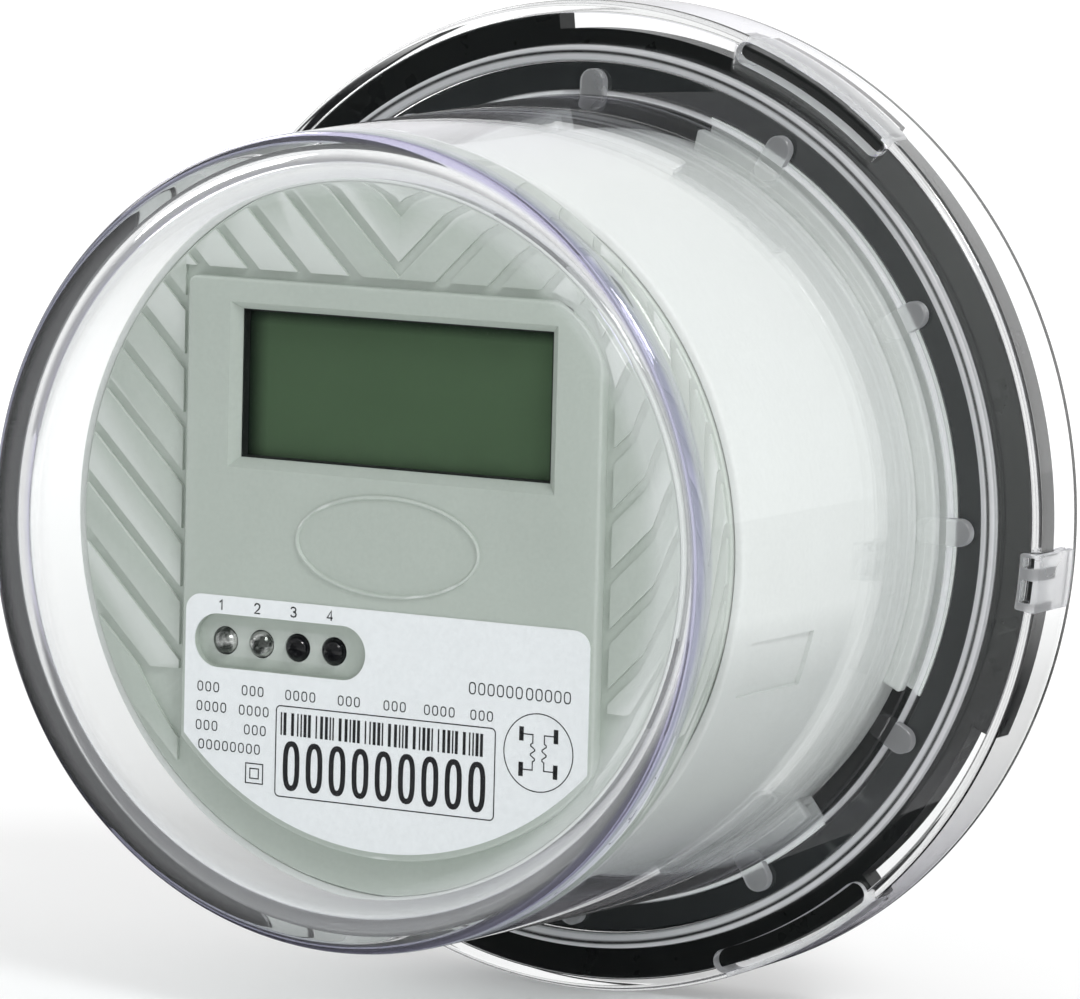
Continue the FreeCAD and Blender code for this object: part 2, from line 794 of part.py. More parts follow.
def lamp_recess():
    depth = "panel_front + lamp_recess_depth"
    middle = "lamp_recess_middle"
    left = rod("recess_left", f"{middle} - lamp_recess_half", middle, "lamp_recess_radius",
               depth, "panel_front - 1")
    right = rod("recess_right", f"{middle} + lamp_recess_half", middle, "lamp_recess_radius",
                depth, "panel_front - 1")
    between = block("recess_between", f"{middle} - lamp_recess_half", f"{middle} + lamp_recess_half",
                    "panel_front - 1", depth, f"{middle} - lamp_recess_radius",
                    f"{middle} + lamp_recess_radius")
    return join("recess", left, right, between)


def lamp_holes():
    return [rod(f"lamp_hole_{k}", f"lamp_first + {k} * lamp_pitch", "lamp_row", "lamp_radius + 0.1",
                "plate_rear + 1", "panel_front - 1") for k in range(4)]


# ---------------------------------------------------------------- nameplate, lamps, display


def make_nameplate():
    half = size("nameplate_half_width")
    top = size("nameplate_top")
    label = bowl_panel("nameplate_square", "nameplate_half_width", "nameplate_top",
                       "panel_front", "nameplate_front", "nameplate_arc")
    rounded = fillet_corner("nameplate_rounded", label, [
        (half, top, size("nameplate_corner")),
        (-half, top, size("nameplate_corner")),
    ])
    keep("nameplate", cut("nameplate", rounded, label_window()))


def label_window():
    """The lamp recess's outline, cut through the label."""
    middle = "lamp_recess_middle"
    ends = [rod(f"label_window_{side}", f"{middle} {sign} lamp_recess_half", middle,
                "lamp_recess_radius", "panel_front + 0.5", "nameplate_front - 1")
            for side, sign in (("left", "-"), ("right", "+"))]
    between = block("label_window_between", f"{middle} - lamp_recess_half", f"{middle} + lamp_recess_half",
                    "nameplate_front - 1", "panel_front + 0.5", f"{middle} - lamp_recess_radius",
                    f"{middle} + lamp_recess_radius")
    return join("label_window", *ends, between)


def make_lamps():
    """Four round-nosed lamps on the display board."""
    names = ("led_impulse", "led_reverse", "ir_transmitter", "ir_receiver")
    for k, name in enumerate(names):
        x = f"lamp_first + {k} * lamp_pitch"
        barrel = rod(name + "_barrel", x, "lamp_row", "lamp_radius", "plate_rear + 1.6",
                     "lamp_tip + lamp_radius")
        nose = ball(name + "_nose", x, "lamp_tip + lamp_radius", "lamp_row", "lamp_radius")
        rim = rod(name + "_rim", x, "lamp_row", "lamp_radius + 0.4", "plate_rear + 1.6", "plate_rear + 0.4")
        pins = [block(f"{name}_pin_{side}", f"{x} + ({offset}) - 0.25", f"{x} + ({offset}) + 0.25",
                      "plate_rear + 1.5", "display_board_front", "lamp_row - 0.25", "lamp_row + 0.25")
                for side, offset in (("a", -1.27), ("b", 1.27))]
        keep(name, join(name, barrel, nose, rim, *pins))


def make_display():
    keep("lcd_panel", block("lcd_panel", "-34", "34", "display_glass_front", "display_glass_rear",
                            "6", "41"))
    frame = block("holder_block", "-35.5", "35.5", "display_glass_rear", "display_holder_rear",
                  "4.5", "42.5")
    slots = [block(f"holder_slot_{k}", "-31", "31", "display_glass_rear - 1", "display_holder_rear + 1",
                   str(z), str(z + 2.2)) for k, z in enumerate((6.6, 38.2))]
    keep("lcd_holder", cut("lcd_holder", frame, *slots))
    strips = [block(f"zebra_{k}", "-30.8", "30.8", "display_glass_rear", "display_board_front",
                    str(z + 0.1), str(z + 2.1)) for k, z in enumerate((6.6, 38.2))]
    keep("zebra_strips", group("zebra_strips", *strips))
    disc = disc_tool("display_board_disc", "display_board_radius", "display_board_rear",
                     "display_board_front")
    holes = [rod(f"display_board_hole_{k}", x, z, "1.2", "display_board_rear + 1",
                 "display_board_front - 1") for k, (x, z) in enumerate(DISPLAY_POSTS)]
    notch = block("display_board_notch", "-9", "9", "display_board_front - 1", "display_board_rear + 1",
                  "-60", "-46")
    keep("display_board", cut("display_board", disc, notch, *holes))
    screws = []
    for k, (x, z) in enumerate(DISPLAY_POSTS):
        head = rod(f"display_screw_head_{k}", x, z, "2.1", "display_board_rear + 1.5", "display_board_rear")
        shank = rod(f"display_screw_shank_{k}", x, z, "0.9", "display_board_rear + 0.5",
                    "display_board_front - 5")
        screws.append(join(f"display_screw_{k}", head, shank))
    keep("display_screws", group("display_screws", *screws))


# ---------------------------------------------------------------- blades, bars, transformer


def make_blades():
    for name, (x, z) in BLADES.items():
        left, right = f"({x}) - blade_thickness / 2", f"({x}) + blade_thickness / 2"
        strip = block(name + "_strip", left, right, "base_floor", "blade_tip",
                      f"({z}) - blade_width / 2", f"({z}) + blade_width / 2")
        tang = block(name + "_tang", left, right, "blade_root", "base_floor + 1",
                     f"({z}) - tang_width / 2", f"({z}) + tang_width / 2")
        doc.recompute()
        tip_edges = []
        for index, edge in enumerate(strip.Shape.Edges, start=1):
            middle = edge.BoundBox.Center
            across = edge.BoundBox.XLength > size("blade_thickness") - 0.1
            if across and abs(middle.y - size("blade_tip")) < 0.01:
                tip_edges.append((index, 4.0, 4.0))
        rounded = doc.addObject("Part::Fillet", name + "_rounded")
        rounded.Base = strip
        rounded.Edges = tip_edges
        hole = crosswise(name + "_pin_hole", "base_floor - 4.6", z, "1.6",
                         f"({x}) - blade_thickness", f"({x}) + blade_thickness")
        keep(name, cut(name, join(name + "_whole", rounded, tang), hole))
    pins = [crosswise(f"blade_pin_{name}", "base_floor - 4.6", z, "1.6", f"({x}) - 5.5", f"({x}) + 5.5")
            for name, (x, z) in BLADES.items()]
    keep("blade_pins", group("blade_pins", *pins))


def make_bars():
    left = "-blade_column"
    reach = "blade_row + tang_width / 2"
    keep("current_bar", block("current_bar", f"{left} - bar_width / 2", f"{left} + bar_width / 2",
                              "blade_root - bar_thickness", "blade_root", f"-({reach})", reach))
    keep("neutral_link", block("neutral_link", "blade_column - 5", "blade_column + 5",
                               "blade_root - 1.6", "blade_root", f"-({reach})", reach))
    middle = "blade_root - bar_thickness / 2"
    core = upright("core_outer", left, middle, "15.4", "-8", "8")
    hollow = upright("core_hollow", left, middle, "6.9", "-9", "9")
    keep("current_transformer", cut("current_transformer", core, hollow))


# ---------------------------------------------------------------- main board


def make_main_board():
    board = block("board_slab", "-50", "50", "main_board_front", "main_board_rear", "-30", "30")
    holes = [rod(f"board_hole_{k}", x, z, "1.6", "main_board_rear + 1", "main_board_front - 1")
             for k, (x, z) in enumerate(BOARD_POSTS)]
    keep("main_board", cut("main_board", board, *holes))
    screws = []
    for k, (x, z) in enumerate(BOARD_POSTS):
        head = rod(f"board_screw_head_{k}", x, z, "2.7", "main_board_front", "main_board_front - 1.9")
        shank = rod(f"board_screw_shank_{k}", x, z, "1.2", "main_board_rear + 7", "main_board_front - 0.5")
        screws.append(join(f"board_screw_{k}", head, shank))
    keep("board_screws", group("board_screws", *screws))


def on_board(name, x0, x1, z0, z1, height):
    """A rectangular part standing on the front of the main board."""
    return keep(name, block(name, x0, x1, f"main_board_front - {height}", "main_board_front", z0, z1))


def make_board_parts():
    on_board("metering_chip", -24, -14, -6, 4, 1.6)
    on_board("processor_chip", -6, 8, -8, 6, 1.5)
    on_board("dropper_capacitor", 11, 37, -27, -13, 17)
    crystal = join("clock_crystal_shape",
                   upright("crystal_can", "2", "main_board_front - 1.2", "1.2", "12", "18"),
                   block("crystal_foot", "1.2", "2.8", "main_board_front - 1.2", "main_board_front",
                         "12.5", "17.5"))
    keep("clock_crystal", crystal)
    cans = [rod(f"smoothing_can_{k}", x, "16", "5", "main_board_front", "main_board_front - 19")
            for k, x in enumerate((16, 28))]
    keep("smoothing_capacitors", group("smoothing_capacitors", *cans))
    disc = crosswise("varistor_disc", "main_board_front - 11", "0", "7", "34", "38.5")
    legs = [block(f"varistor_leg_{k}", "35.9", "36.7", "main_board_front - 8", "main_board_front",
                  str(z), str(z + 0.8)) for k, z in enumerate((-4.2, 3.4))]
    keep("varistor", join("varistor", disc, *legs))
    cell = crosswise("battery_can", "main_board_front - 7.4", "18", "7.3", "-38", "-13")
    straps = [block(f"battery_strap_{k}", x, x + 0.6, "main_board_front - 8", "main_board_front",
                    "16", "20") for k, x in enumerate((-38.6, -13.0))]
    keep("backup_battery", join("backup_battery", cell, *straps))


def make_ribbon():
    """The flat cable between the two boards, with a socket at each end."""
    board_socket = block("board_socket", "-8", "8", "main_board_front - 5", "main_board_front",
                         "-27", "-22")
    display_socket = block("display_socket", "-8", "8", "display_board_rear", "display_board_rear + 5",
                           "-27", "-22")
    keep("ribbon_sockets", group("ribbon_sockets", board_socket, display_socket))
    keep("ribbon_cable", block("ribbon_cable", "-7", "7", "display_board_rear + 5",
                               "main_board_front - 5", "-25", "-24.2"))


def make_lead(name, points, radius):
    """A wire through the points, with its corners rounded as far as its runs allow."""
    corners = [FreeCAD.Vector(*point) for point in points]
    edges = []
    start = corners[0]
    for before, corner, after in zip(corners, corners[1:], corners[2:]):
        arriving = (corner - before).normalize()
        leaving = (after - corner).normalize()
        turn = arriving.getAngle(leaving)
        setback = 0.45 * min((corner - before).Length, (after - corner).Length)
        bend = setback / math.tan(turn / 2)
        entry = corner - arriving * setback
        leave = corner + leaving * setback
        bisector = (leaving - arriving).normalize()
        middle = corner + bisector * (bend / math.cos(turn / 2) - bend)
        edges.append(Part.LineSegment(start, entry).toShape())
        edges.append(Part.Arc(entry, middle, leave).toShape())
        start = leave
    edges.append(Part.LineSegment(start, corners[-1]).toShape())
    path = Part.Wire(edges)
    direction = corners[1] - corners[0]
    section = Part.Wire([Part.makeCircle(radius, corners[0], direction)])
    thing = doc.addObject("Part::Feature", name)
    thing.Shape = path.makePipeShell([section], True, False)
    return thing


def make_leads():
    board = size("main_board_rear")
    left = -size("blade_column")
    coil = size("blade_root") - size("bar_thickness") / 2 - 15.4
    ct_pair = [make_lead(f"ct_lead_{k}", [
        (left + x, coil, z),
        (left + x, coil - 5, z),
        (left + x + 4, board + 4, z),
        (left + x + 4, board, z),
    ], 0.6) for k, (x, z) in enumerate(((-1.5, 3), (1.5, -3)))]
    keep("ct_leads", group("ct_leads", *ct_pair))
    right = size("blade_column")
    neutral_face = size("blade_root") - 1.6
    bar_face = size("blade_root") - size("bar_thickness")
    voltage = [
        make_lead("neutral_lead", [(right, neutral_face, 12), (right, neutral_face - 10, 12),
                                   (right - 6, board + 8, 12), (right - 6, board, 12)], 0.8),
        make_lead("line_lead", [(left, bar_face, 22), (left, bar_face - 9, 22),
                                (left + 5, board + 7, 22), (left + 5, board, 22)], 0.8),
    ]
    keep("voltage_leads", group("voltage_leads", *voltage))


def make_housing_screws():
    screws = []
    for k, degrees in enumerate(HOUSING_SCREW_ANGLES):
        x, z = polar_place(HOUSING_SCREW_CIRCLE, degrees)
        head = rod(f"housing_screw_head_{k}", x, z, "2.9", "ring_front - 2", "ring_front - 4.2")
        shank = rod(f"housing_screw_shank_{k}", x, z, "1.4", "ring_front + 7", "ring_front - 2.5")
        screws.append(join(f"housing_screw_{k}", head, shank))
    keep("housing_screws", group("housing_screws", *screws))


# ---------------------------------------------------------------- build, check, write


def check_document():
    doc.recompute()
    failed = [item.Name for item in doc.Objects if {"Invalid", "Error"} & set(item.State)]
    if failed:
        raise RuntimeError("failed objects: " + ", ".join(failed))
    for label, node in nodes.items():
        shape = node.Shape
        if shape.isNull() or not shape.isValid() or not shape.Solids:
            raise RuntimeError(f"{label}: no valid solid")


for make in (make_cover, make_gasket, make_base, make_inner_housing, make_faceplate, make_nameplate,
             make_lamps, make_display, make_blades, make_bars, make_main_board, make_board_parts,
             make_ribbon, make_leads, make_housing_screws):
    make()
check_document()
for label, node in nodes.items():
    node.Shape.exportStep(f"parts/{label}.step")
    print(label, len(node.Shape.Solids), "solids", round(node.Shape.Volume, 1), "mm3")
print(len(nodes), "nodes")
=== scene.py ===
import json
import math

import bmesh
import bpy
from mathutils import Matrix, Vector


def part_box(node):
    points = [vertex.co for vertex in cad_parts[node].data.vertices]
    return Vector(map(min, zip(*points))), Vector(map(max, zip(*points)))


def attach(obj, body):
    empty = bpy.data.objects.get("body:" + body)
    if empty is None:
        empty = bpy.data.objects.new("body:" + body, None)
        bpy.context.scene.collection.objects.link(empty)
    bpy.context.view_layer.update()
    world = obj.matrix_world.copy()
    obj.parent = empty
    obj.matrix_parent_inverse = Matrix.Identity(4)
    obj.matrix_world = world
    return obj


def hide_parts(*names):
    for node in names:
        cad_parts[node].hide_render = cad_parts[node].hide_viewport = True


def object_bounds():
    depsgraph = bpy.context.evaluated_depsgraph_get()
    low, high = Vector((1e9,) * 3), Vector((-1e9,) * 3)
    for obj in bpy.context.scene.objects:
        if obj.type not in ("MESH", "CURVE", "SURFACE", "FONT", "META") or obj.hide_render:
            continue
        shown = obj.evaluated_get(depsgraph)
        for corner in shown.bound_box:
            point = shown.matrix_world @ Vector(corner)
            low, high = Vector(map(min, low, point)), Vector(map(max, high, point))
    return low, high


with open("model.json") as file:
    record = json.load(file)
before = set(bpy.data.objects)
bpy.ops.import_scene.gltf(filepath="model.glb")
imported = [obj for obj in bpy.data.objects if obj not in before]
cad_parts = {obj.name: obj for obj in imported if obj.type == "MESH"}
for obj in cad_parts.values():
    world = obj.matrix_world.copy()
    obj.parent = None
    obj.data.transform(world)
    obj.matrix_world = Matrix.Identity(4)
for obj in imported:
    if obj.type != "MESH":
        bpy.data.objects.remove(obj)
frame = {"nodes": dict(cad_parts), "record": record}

CAD_BOX = [list(corner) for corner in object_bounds()]
MM = 0.001
METER, COVER = "meter", "cover_body"
scene = bpy.context.scene
scene.view_settings.view_transform = "Standard"
scene.view_settings.look = "None"

LENS_MM = 231.74
CAMERA_PLACE = (0.586053, -1.089975, 0.142760)
CAMERA_RIGHT = (0.872928, 0.487224, 0.024692)
CAMERA_UP = (-0.078049, 0.089516, 0.992923)


# ---------------------------------------------------------------- camera

def make_camera():
    """A long lens in front of the meter, to its right and a little above."""
    data = bpy.data.cameras.new("camera")
    data.sensor_width = 36.0
    data.lens = LENS_MM
    data.clip_start = 0.05
    data.clip_end = 60.0
    camera = bpy.data.objects.new("camera", data)
    scene.collection.objects.link(camera)
    right = Vector(CAMERA_RIGHT)
    up = Vector(CAMERA_UP)
    back = right.cross(up)
    turn = Matrix((right, up, back)).transposed()
    camera.matrix_world = Matrix.Translation(CAMERA_PLACE) @ turn.to_4x4()
    scene.camera = camera


# ---------------------------------------------------------------- mesh helpers

def link(obj, body, smooth=32):
    """Put a mesh object in the scene with smooth faces and crisp edges, riding on a body."""
    if obj.name not in scene.collection.objects:
        scene.collection.objects.link(obj)
    shade(obj, smooth)
    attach(obj, body)
    return obj


def shade(obj, degrees):
    mesh = obj.data
    mesh.polygons.foreach_set("use_smooth", [True] * len(mesh.polygons))
    mesh.set_sharp_from_angle(angle=math.radians(degrees))
    mesh.update()


def raw(name, verts, faces):
    """A mesh object from millimetres, with outward normals."""
    mesh = bpy.data.meshes.new(name)
    mesh.from_pydata([tuple(c * MM for c in v) for v in verts], [], faces)
    bm = bmesh.new()
    bm.from_mesh(mesh)
    bmesh.ops.remove_doubles(bm, verts=bm.verts, dist=1e-7)
    bmesh.ops.recalc_face_normals(bm, faces=bm.faces)
    bm.to_mesh(mesh)
    bm.free()
    obj = bpy.data.objects.new(name, mesh)
    scene.collection.objects.link(obj)
    return obj


def rounded_path(points, closed, steps=8):
    """A path through (a, b, radius) corners with each corner rounded."""
    path = []
    count = len(points)
    for k, (a, b, radius) in enumerate(points):
        corner = Vector((a, b))
        ends = not closed and k in (0, count - 1)
        if radius <= 0 or ends:
            path.append((a, b))
            continue
        before = (Vector(points[k - 1][:2]) - corner).normalized()
        after = (Vector(points[(k + 1) % count][:2]) - corner).normalized()
        half = before.angle(after) / 2
        setback = radius / math.tan(half)
        centre = corner + (before + after).normalized() * (radius / math.sin(half))
        first = corner + before * setback - centre
        last = corner + after * setback - centre
        swing = first.angle_signed(last)
        for step in range(steps + 1):
            turned = first.copy()
            turned.rotate(Matrix.Rotation(-swing * step / steps, 2))
            path.append(tuple(centre + turned))
    return path


def supported(path, closed, gap=0.35):
    """The path with extra points near the ends of its long straight runs."""
    result = []
    count = len(path)
    for k in range(count):
        result.append(path[k])
        if not closed and k == count - 1:
            break
        a, b = Vector(path[k]), Vector(path[(k + 1) % count])
        length = (b - a).length
        if length > 4 * gap:
            result.append(tuple(a + (b - a) * (gap / length)))
            result.append(tuple(b - (b - a) * (gap / length)))
    return result


def lathe(name, corners, segments=360, closed=True, steps=8):
    """A solid turned about the Y axis from (radius, depth, rounding) corners.
    An open path starts and ends on the axis."""
    path = supported(rounded_path(corners, closed, steps), closed)
    verts, rings = [], []
    for r, y in path:
        if r < 1e-6:
            rings.append([len(verts)])
            verts.append((0, y, 0))
            continue
        first = len(verts)
        rings.append(list(range(first, first + segments)))
        for k in range(segments):
            angle = math.tau * k / segments
            verts.append((r * math.cos(angle), y, r * math.sin(angle)))
    faces = []
    pairs = len(rings) if closed else len(rings) - 1
    for k in range(pairs):
        a, b = rings[k], rings[(k + 1) % len(rings)]
        for j in range(segments):
            i = (j + 1) % segments
            if len(a) == 1 and len(b) > 1:
                faces.append((a[0], b[i], b[j]))
            elif len(b) == 1 and len(a) > 1:
                faces.append((a[j], a[i], b[0]))
            elif len(a) > 1:
                faces.append((a[j], a[i], b[i], b[j]))
    return raw(name, verts, faces)


def prism(name, outline, rear, front):
    """A closed outline of (x, z) carried from a rear depth to a front depth."""
    count = len(outline)
    verts = [(x, rear, z) for x, z in outline] + [(x, front, z) for x, z in outline]
    faces = [tuple(range(count)), tuple(range(2 * count - 1, count - 1, -1))]
    for k in range(count):
        j = (k + 1) % count
        faces.append((k, j, j + count, k + count))
    return raw(name, verts, faces)


def polar(radius, degrees):
    return radius * math.cos(math.radians(degrees)), radius * math.sin(math.radians(degrees))


def sector(inner, outer, middle, sweep, steps=24, round_ends=False):
    """The outline of part of a ring."""
    low, high = middle - sweep / 2, middle + sweep / 2
    outline = [polar(outer, low + (high - low) * k / steps) for k in range(steps + 1)]
    if round_ends:
        outline += end_arc(inner, outer, high, 1)
    outline += [polar(inner, high - (high - low) * k / steps) for k in range(steps + 1)]
    if round_ends:
        outline += end_arc(inner, outer, low, -1)
    return outline


def end_arc(inner, outer, degrees, side):
    centre = Vector(polar((inner + outer) / 2, degrees))
    out = Vector(polar(1, degrees))
    along = Vector(polar(1, degrees + 90))
    radius = (outer - inner) / 2
    points = []
    for k in range(1, 12):
        angle = math.pi * k / 12
        swing = out * math.cos(angle) * side + along * math.sin(angle) * side
        points.append(tuple(centre + swing * radius))
    return points


def box_outline(x0, x1, z0, z1):
    return [(x0, z0), (x1, z0), (x1, z1), (x0, z1)]


def merged(name, parts):
    """One object holding several meshes, which are used up."""
    bm = bmesh.new()
    for part in parts:
        bm.from_mesh(part.data)
        bpy.data.objects.remove(part)
    mesh = bpy.data.meshes.new(name)
    bm.to_mesh(mesh)
    bm.free()
    obj = bpy.data.objects.new(name, mesh)
    scene.collection.objects.link(obj)
    return obj


def marked(obj, index):
    """Give every face of a tool the material slot that it should keep after a boolean."""
    obj.data.polygons.foreach_set("material_index", [index] * len(obj.data.polygons))
    return obj


def baked(obj):
    """Apply the object's modifiers to its mesh."""
    bpy.context.view_layer.update()
    shape = obj.evaluated_get(bpy.context.evaluated_depsgraph_get())
    mesh = bpy.data.meshes.new_from_object(shape)
    obj.modifiers.clear()
    obj.data = mesh
    return obj


def combine(obj, tools, operation):
    """Union or difference with a list of closed tools, which are used up."""
    for thing in (obj, *tools):
        while len(thing.data.materials) < 2:
            thing.data.materials.append(None)
    for tool in tools:
        step = obj.modifiers.new("step", "BOOLEAN")
        step.operation = operation
        step.solver = "EXACT"
        step.object = tool
    baked(obj)
    for tool in tools:
        bpy.data.objects.remove(tool)
    return obj


def bevelled(obj, width, segments=2, degrees=40):
    step = obj.modifiers.new("edges", "BEVEL")
    step.width = width * MM
    step.segments = segments
    step.limit_method = "ANGLE"
    step.angle_limit = math.radians(degrees)
    step.miter_outer = "MITER_ARC"
    step.use_clamp_overlap = True
    return baked(obj)


def spun(make, count):
    """Copies of a shape made at equal angles round the axis."""
    return [make(360.0 * k / count) for k in range(count)]


def thirds(first):
    """Three angles, a third of a turn apart."""
    return [first + 120.0 * k for k in range(3)]


def circle(x, z, radius, steps):
    return [(x + radius * math.cos(math.tau * k / steps), z + radius * math.sin(math.tau * k / steps))
            for k in range(steps)]


def turned(outline, degrees):
    c, s = math.cos(math.radians(degrees)), math.sin(math.radians(degrees))
    return [(x * c - z * s, x * s + z * c) for x, z in outline]


# ---------------------------------------------------------------- materials

class Nodes:
    """A short way to write a node tree."""

    def __init__(self, name):
        self.material = bpy.data.materials.new(name)
        self.material.use_nodes = True
        self.tree = self.material.node_tree
        self.tree.nodes.clear()
        self.out = self.add("OutputMaterial")
        self.coordinates = self.add("TexCoord").outputs["Object"]

    def add(self, kind, **values):
        node = self.tree.nodes.new("ShaderNode" + kind)
        for key, value in values.items():
            if key in node.inputs:
                self.feed(node.inputs[key], value)
            else:
                setattr(node, key, value)
        return node

    def feed(self, socket, value):
        if isinstance(value, bpy.types.NodeSocket):
            self.tree.links.new(value, socket)
        else:
            socket.default_value = value

    def noise(self, scale, detail=3.0, rough=0.5, stretch=None):
        where = self.coordinates
        if stretch:
            node = self.add("Mapping", Scale=stretch)
            self.feed(node.inputs["Vector"], where)
            where = node.outputs["Vector"]
        node = self.add("TexNoise", Scale=scale, Detail=detail, Roughness=rough)
        self.feed(node.inputs["Vector"], where)
        return node.outputs["Fac"]

    def spread(self, fac, low, high, start=0.3, end=0.7):
        """Map a 0..1 value onto a range."""
        node = self.add("MapRange")
        node.inputs["From Min"].default_value = start
        node.inputs["From Max"].default_value = end
        node.inputs["To Min"].default_value = low
        node.inputs["To Max"].default_value = high
        self.feed(node.inputs["Value"], fac)
        return node.outputs["Result"]

    def blend(self, fac, a, b, mode="MIX"):
        node = self.add("Mix", data_type="RGBA", blend_type=mode)
        self.feed(node.inputs[0], fac)
        self.feed(node.inputs[6], a)
        self.feed(node.inputs[7], b)
        return node.outputs[2]

    def bump(self, height, strength, distance):
        node = self.add("Bump", Strength=strength, Distance=distance * MM)
        self.feed(node.inputs["Height"], height)
        return node.outputs["Normal"]

    def sum(self, a, b):
        node = self.add("Math", operation="ADD", use_clamp=True)
        self.feed(node.inputs[0], a)
        self.feed(node.inputs[1], b)
        return node.outputs[0]

    def radius(self):
        """The distance from the meter's axis, in millimetres."""
        split = self.add("SeparateXYZ")
        self.feed(split.inputs[0], self.coordinates)
        flat = self.add("CombineXYZ")
        self.feed(flat.inputs[0], split.outputs["X"])
        self.feed(flat.inputs[1], split.outputs["Z"])
        length = self.add("VectorMath", operation="LENGTH")
        self.feed(length.inputs[0], flat.outputs[0])
        scaled = self.add("Math", operation="MULTIPLY")
        self.feed(scaled.inputs[0], length.outputs["Value"])
        scaled.inputs[1].default_value = 1 / MM
        return scaled.outputs[0], split.outputs["Y"]

    def product(self, a, b):
        node = self.add("Math", operation="MULTIPLY")
        self.feed(node.inputs[0], a)
        self.feed(node.inputs[1], b)
        return node.outputs[0]

    def ridge(self, radius, half_width, strength, front, rear):
        """A soft ring round the axis that fades out outside two depths, all in millimetres."""
        here, depth = self.radius()
        offset = self.add("Math", operation="SUBTRACT")
        self.feed(offset.inputs[0], here)
        offset.inputs[1].default_value = radius
        away = self.add("Math", operation="ABSOLUTE")
        self.feed(away.inputs[0], offset.outputs[0])
        ring = self.spread(away.outputs[0], strength, 0.0, half_width * 0.4, half_width)
        before = self.spread(depth, 1.0, 0.0, rear * MM, (rear + 0.6) * MM)
        behind = self.spread(depth, 0.0, 1.0, (front - 0.6) * MM, front * MM)
        return self.product(self.product(ring, before), behind)

    def surface(self, shader):
        self.tree.links.new(shader, self.out.inputs["Surface"])
        return self.material


def rgb(color, gain=1.0):
    return (color[0] * gain, color[1] * gain, color[2] * gain, 1.0)


def moulded(name, color, rough=0.42, grain=0.35, depth=0.012, sheen=0.5, vary=0.05, edge=0.12):
    """Moulded plastic: fine spark texture, faint mottling, slightly lighter convex edges that are partly wear and
    partly painted highlight.
    """
    n = Nodes(name)
    mottle = n.blend(n.spread(n.noise(45.0, 4.0), 0.0, 1.0), rgb(color, 1 - vary), rgb(color, 1 + vary))
    fleck = n.blend(n.spread(n.noise(1400.0, 2.0), 0.0, 1.0), rgb((0.97,) * 3), rgb((1.03,) * 3))
    tinted = n.blend(1.0, mottle, fleck, "MULTIPLY")
    point = n.add("NewGeometry").outputs["Pointiness"]
    # Lighter convex edges: partly wear, partly painted highlight.
    edge_wear_and_highlight = n.spread(point, 0.0, edge, 0.52, 0.62)
    final = n.blend(edge_wear_and_highlight, tinted, rgb((1.0, 1.0, 1.0)))
    gloss = n.spread(n.noise(160.0, 5.0), rough - 0.05, rough + 0.06)
    fine = n.bump(n.noise(1.0 / (grain * MM), 2.0), 0.5, depth)
    shader = n.add("BsdfPrincipled", Metallic=0.0, IOR=1.5)
    n.feed(shader.inputs["Base Color"], final)
    n.feed(shader.inputs["Roughness"], gloss)
    n.feed(shader.inputs["Normal"], fine)
    shader.inputs["Specular IOR Level"].default_value = sheen
    return n.surface(shader.outputs[0])


def metal(name, color, rough=0.3, stretch=(1.0, 0.04, 1.0), scale=900.0):
    """Plated or bare metal with fine drawn lines, dull patches and bright edges."""
    n = Nodes(name)
    lines = n.noise(scale, 3.0, 0.6, stretch)
    dull = n.spread(n.noise(70.0, 5.0), 0.0, 1.0)
    base = n.blend(dull, rgb(color, 0.9), rgb(color, 1.05))
    point = n.add("NewGeometry").outputs["Pointiness"]
    final = n.blend(n.spread(point, 0.0, 0.3, 0.52, 0.6), base, rgb((0.95, 0.95, 0.95)))
    gloss = n.spread(n.blend(0.5, lines, dull), rough - 0.08, rough + 0.12)
    shader = n.add("BsdfPrincipled", Metallic=1.0)
    n.feed(shader.inputs["Base Color"], final)
    n.feed(shader.inputs["Roughness"], gloss)
    n.feed(shader.inputs["Normal"], n.bump(lines, 0.25, 0.01))
    return n.surface(shader.outputs[0])


CLEAR_TINT, GRAZING_TINT, VIOLET_TINT = (0.985, 0.992, 0.992), (0.50, 0.47, 0.74), (0.33, 0.29, 0.66)
POLYCARBONATE_IOR = 1.56


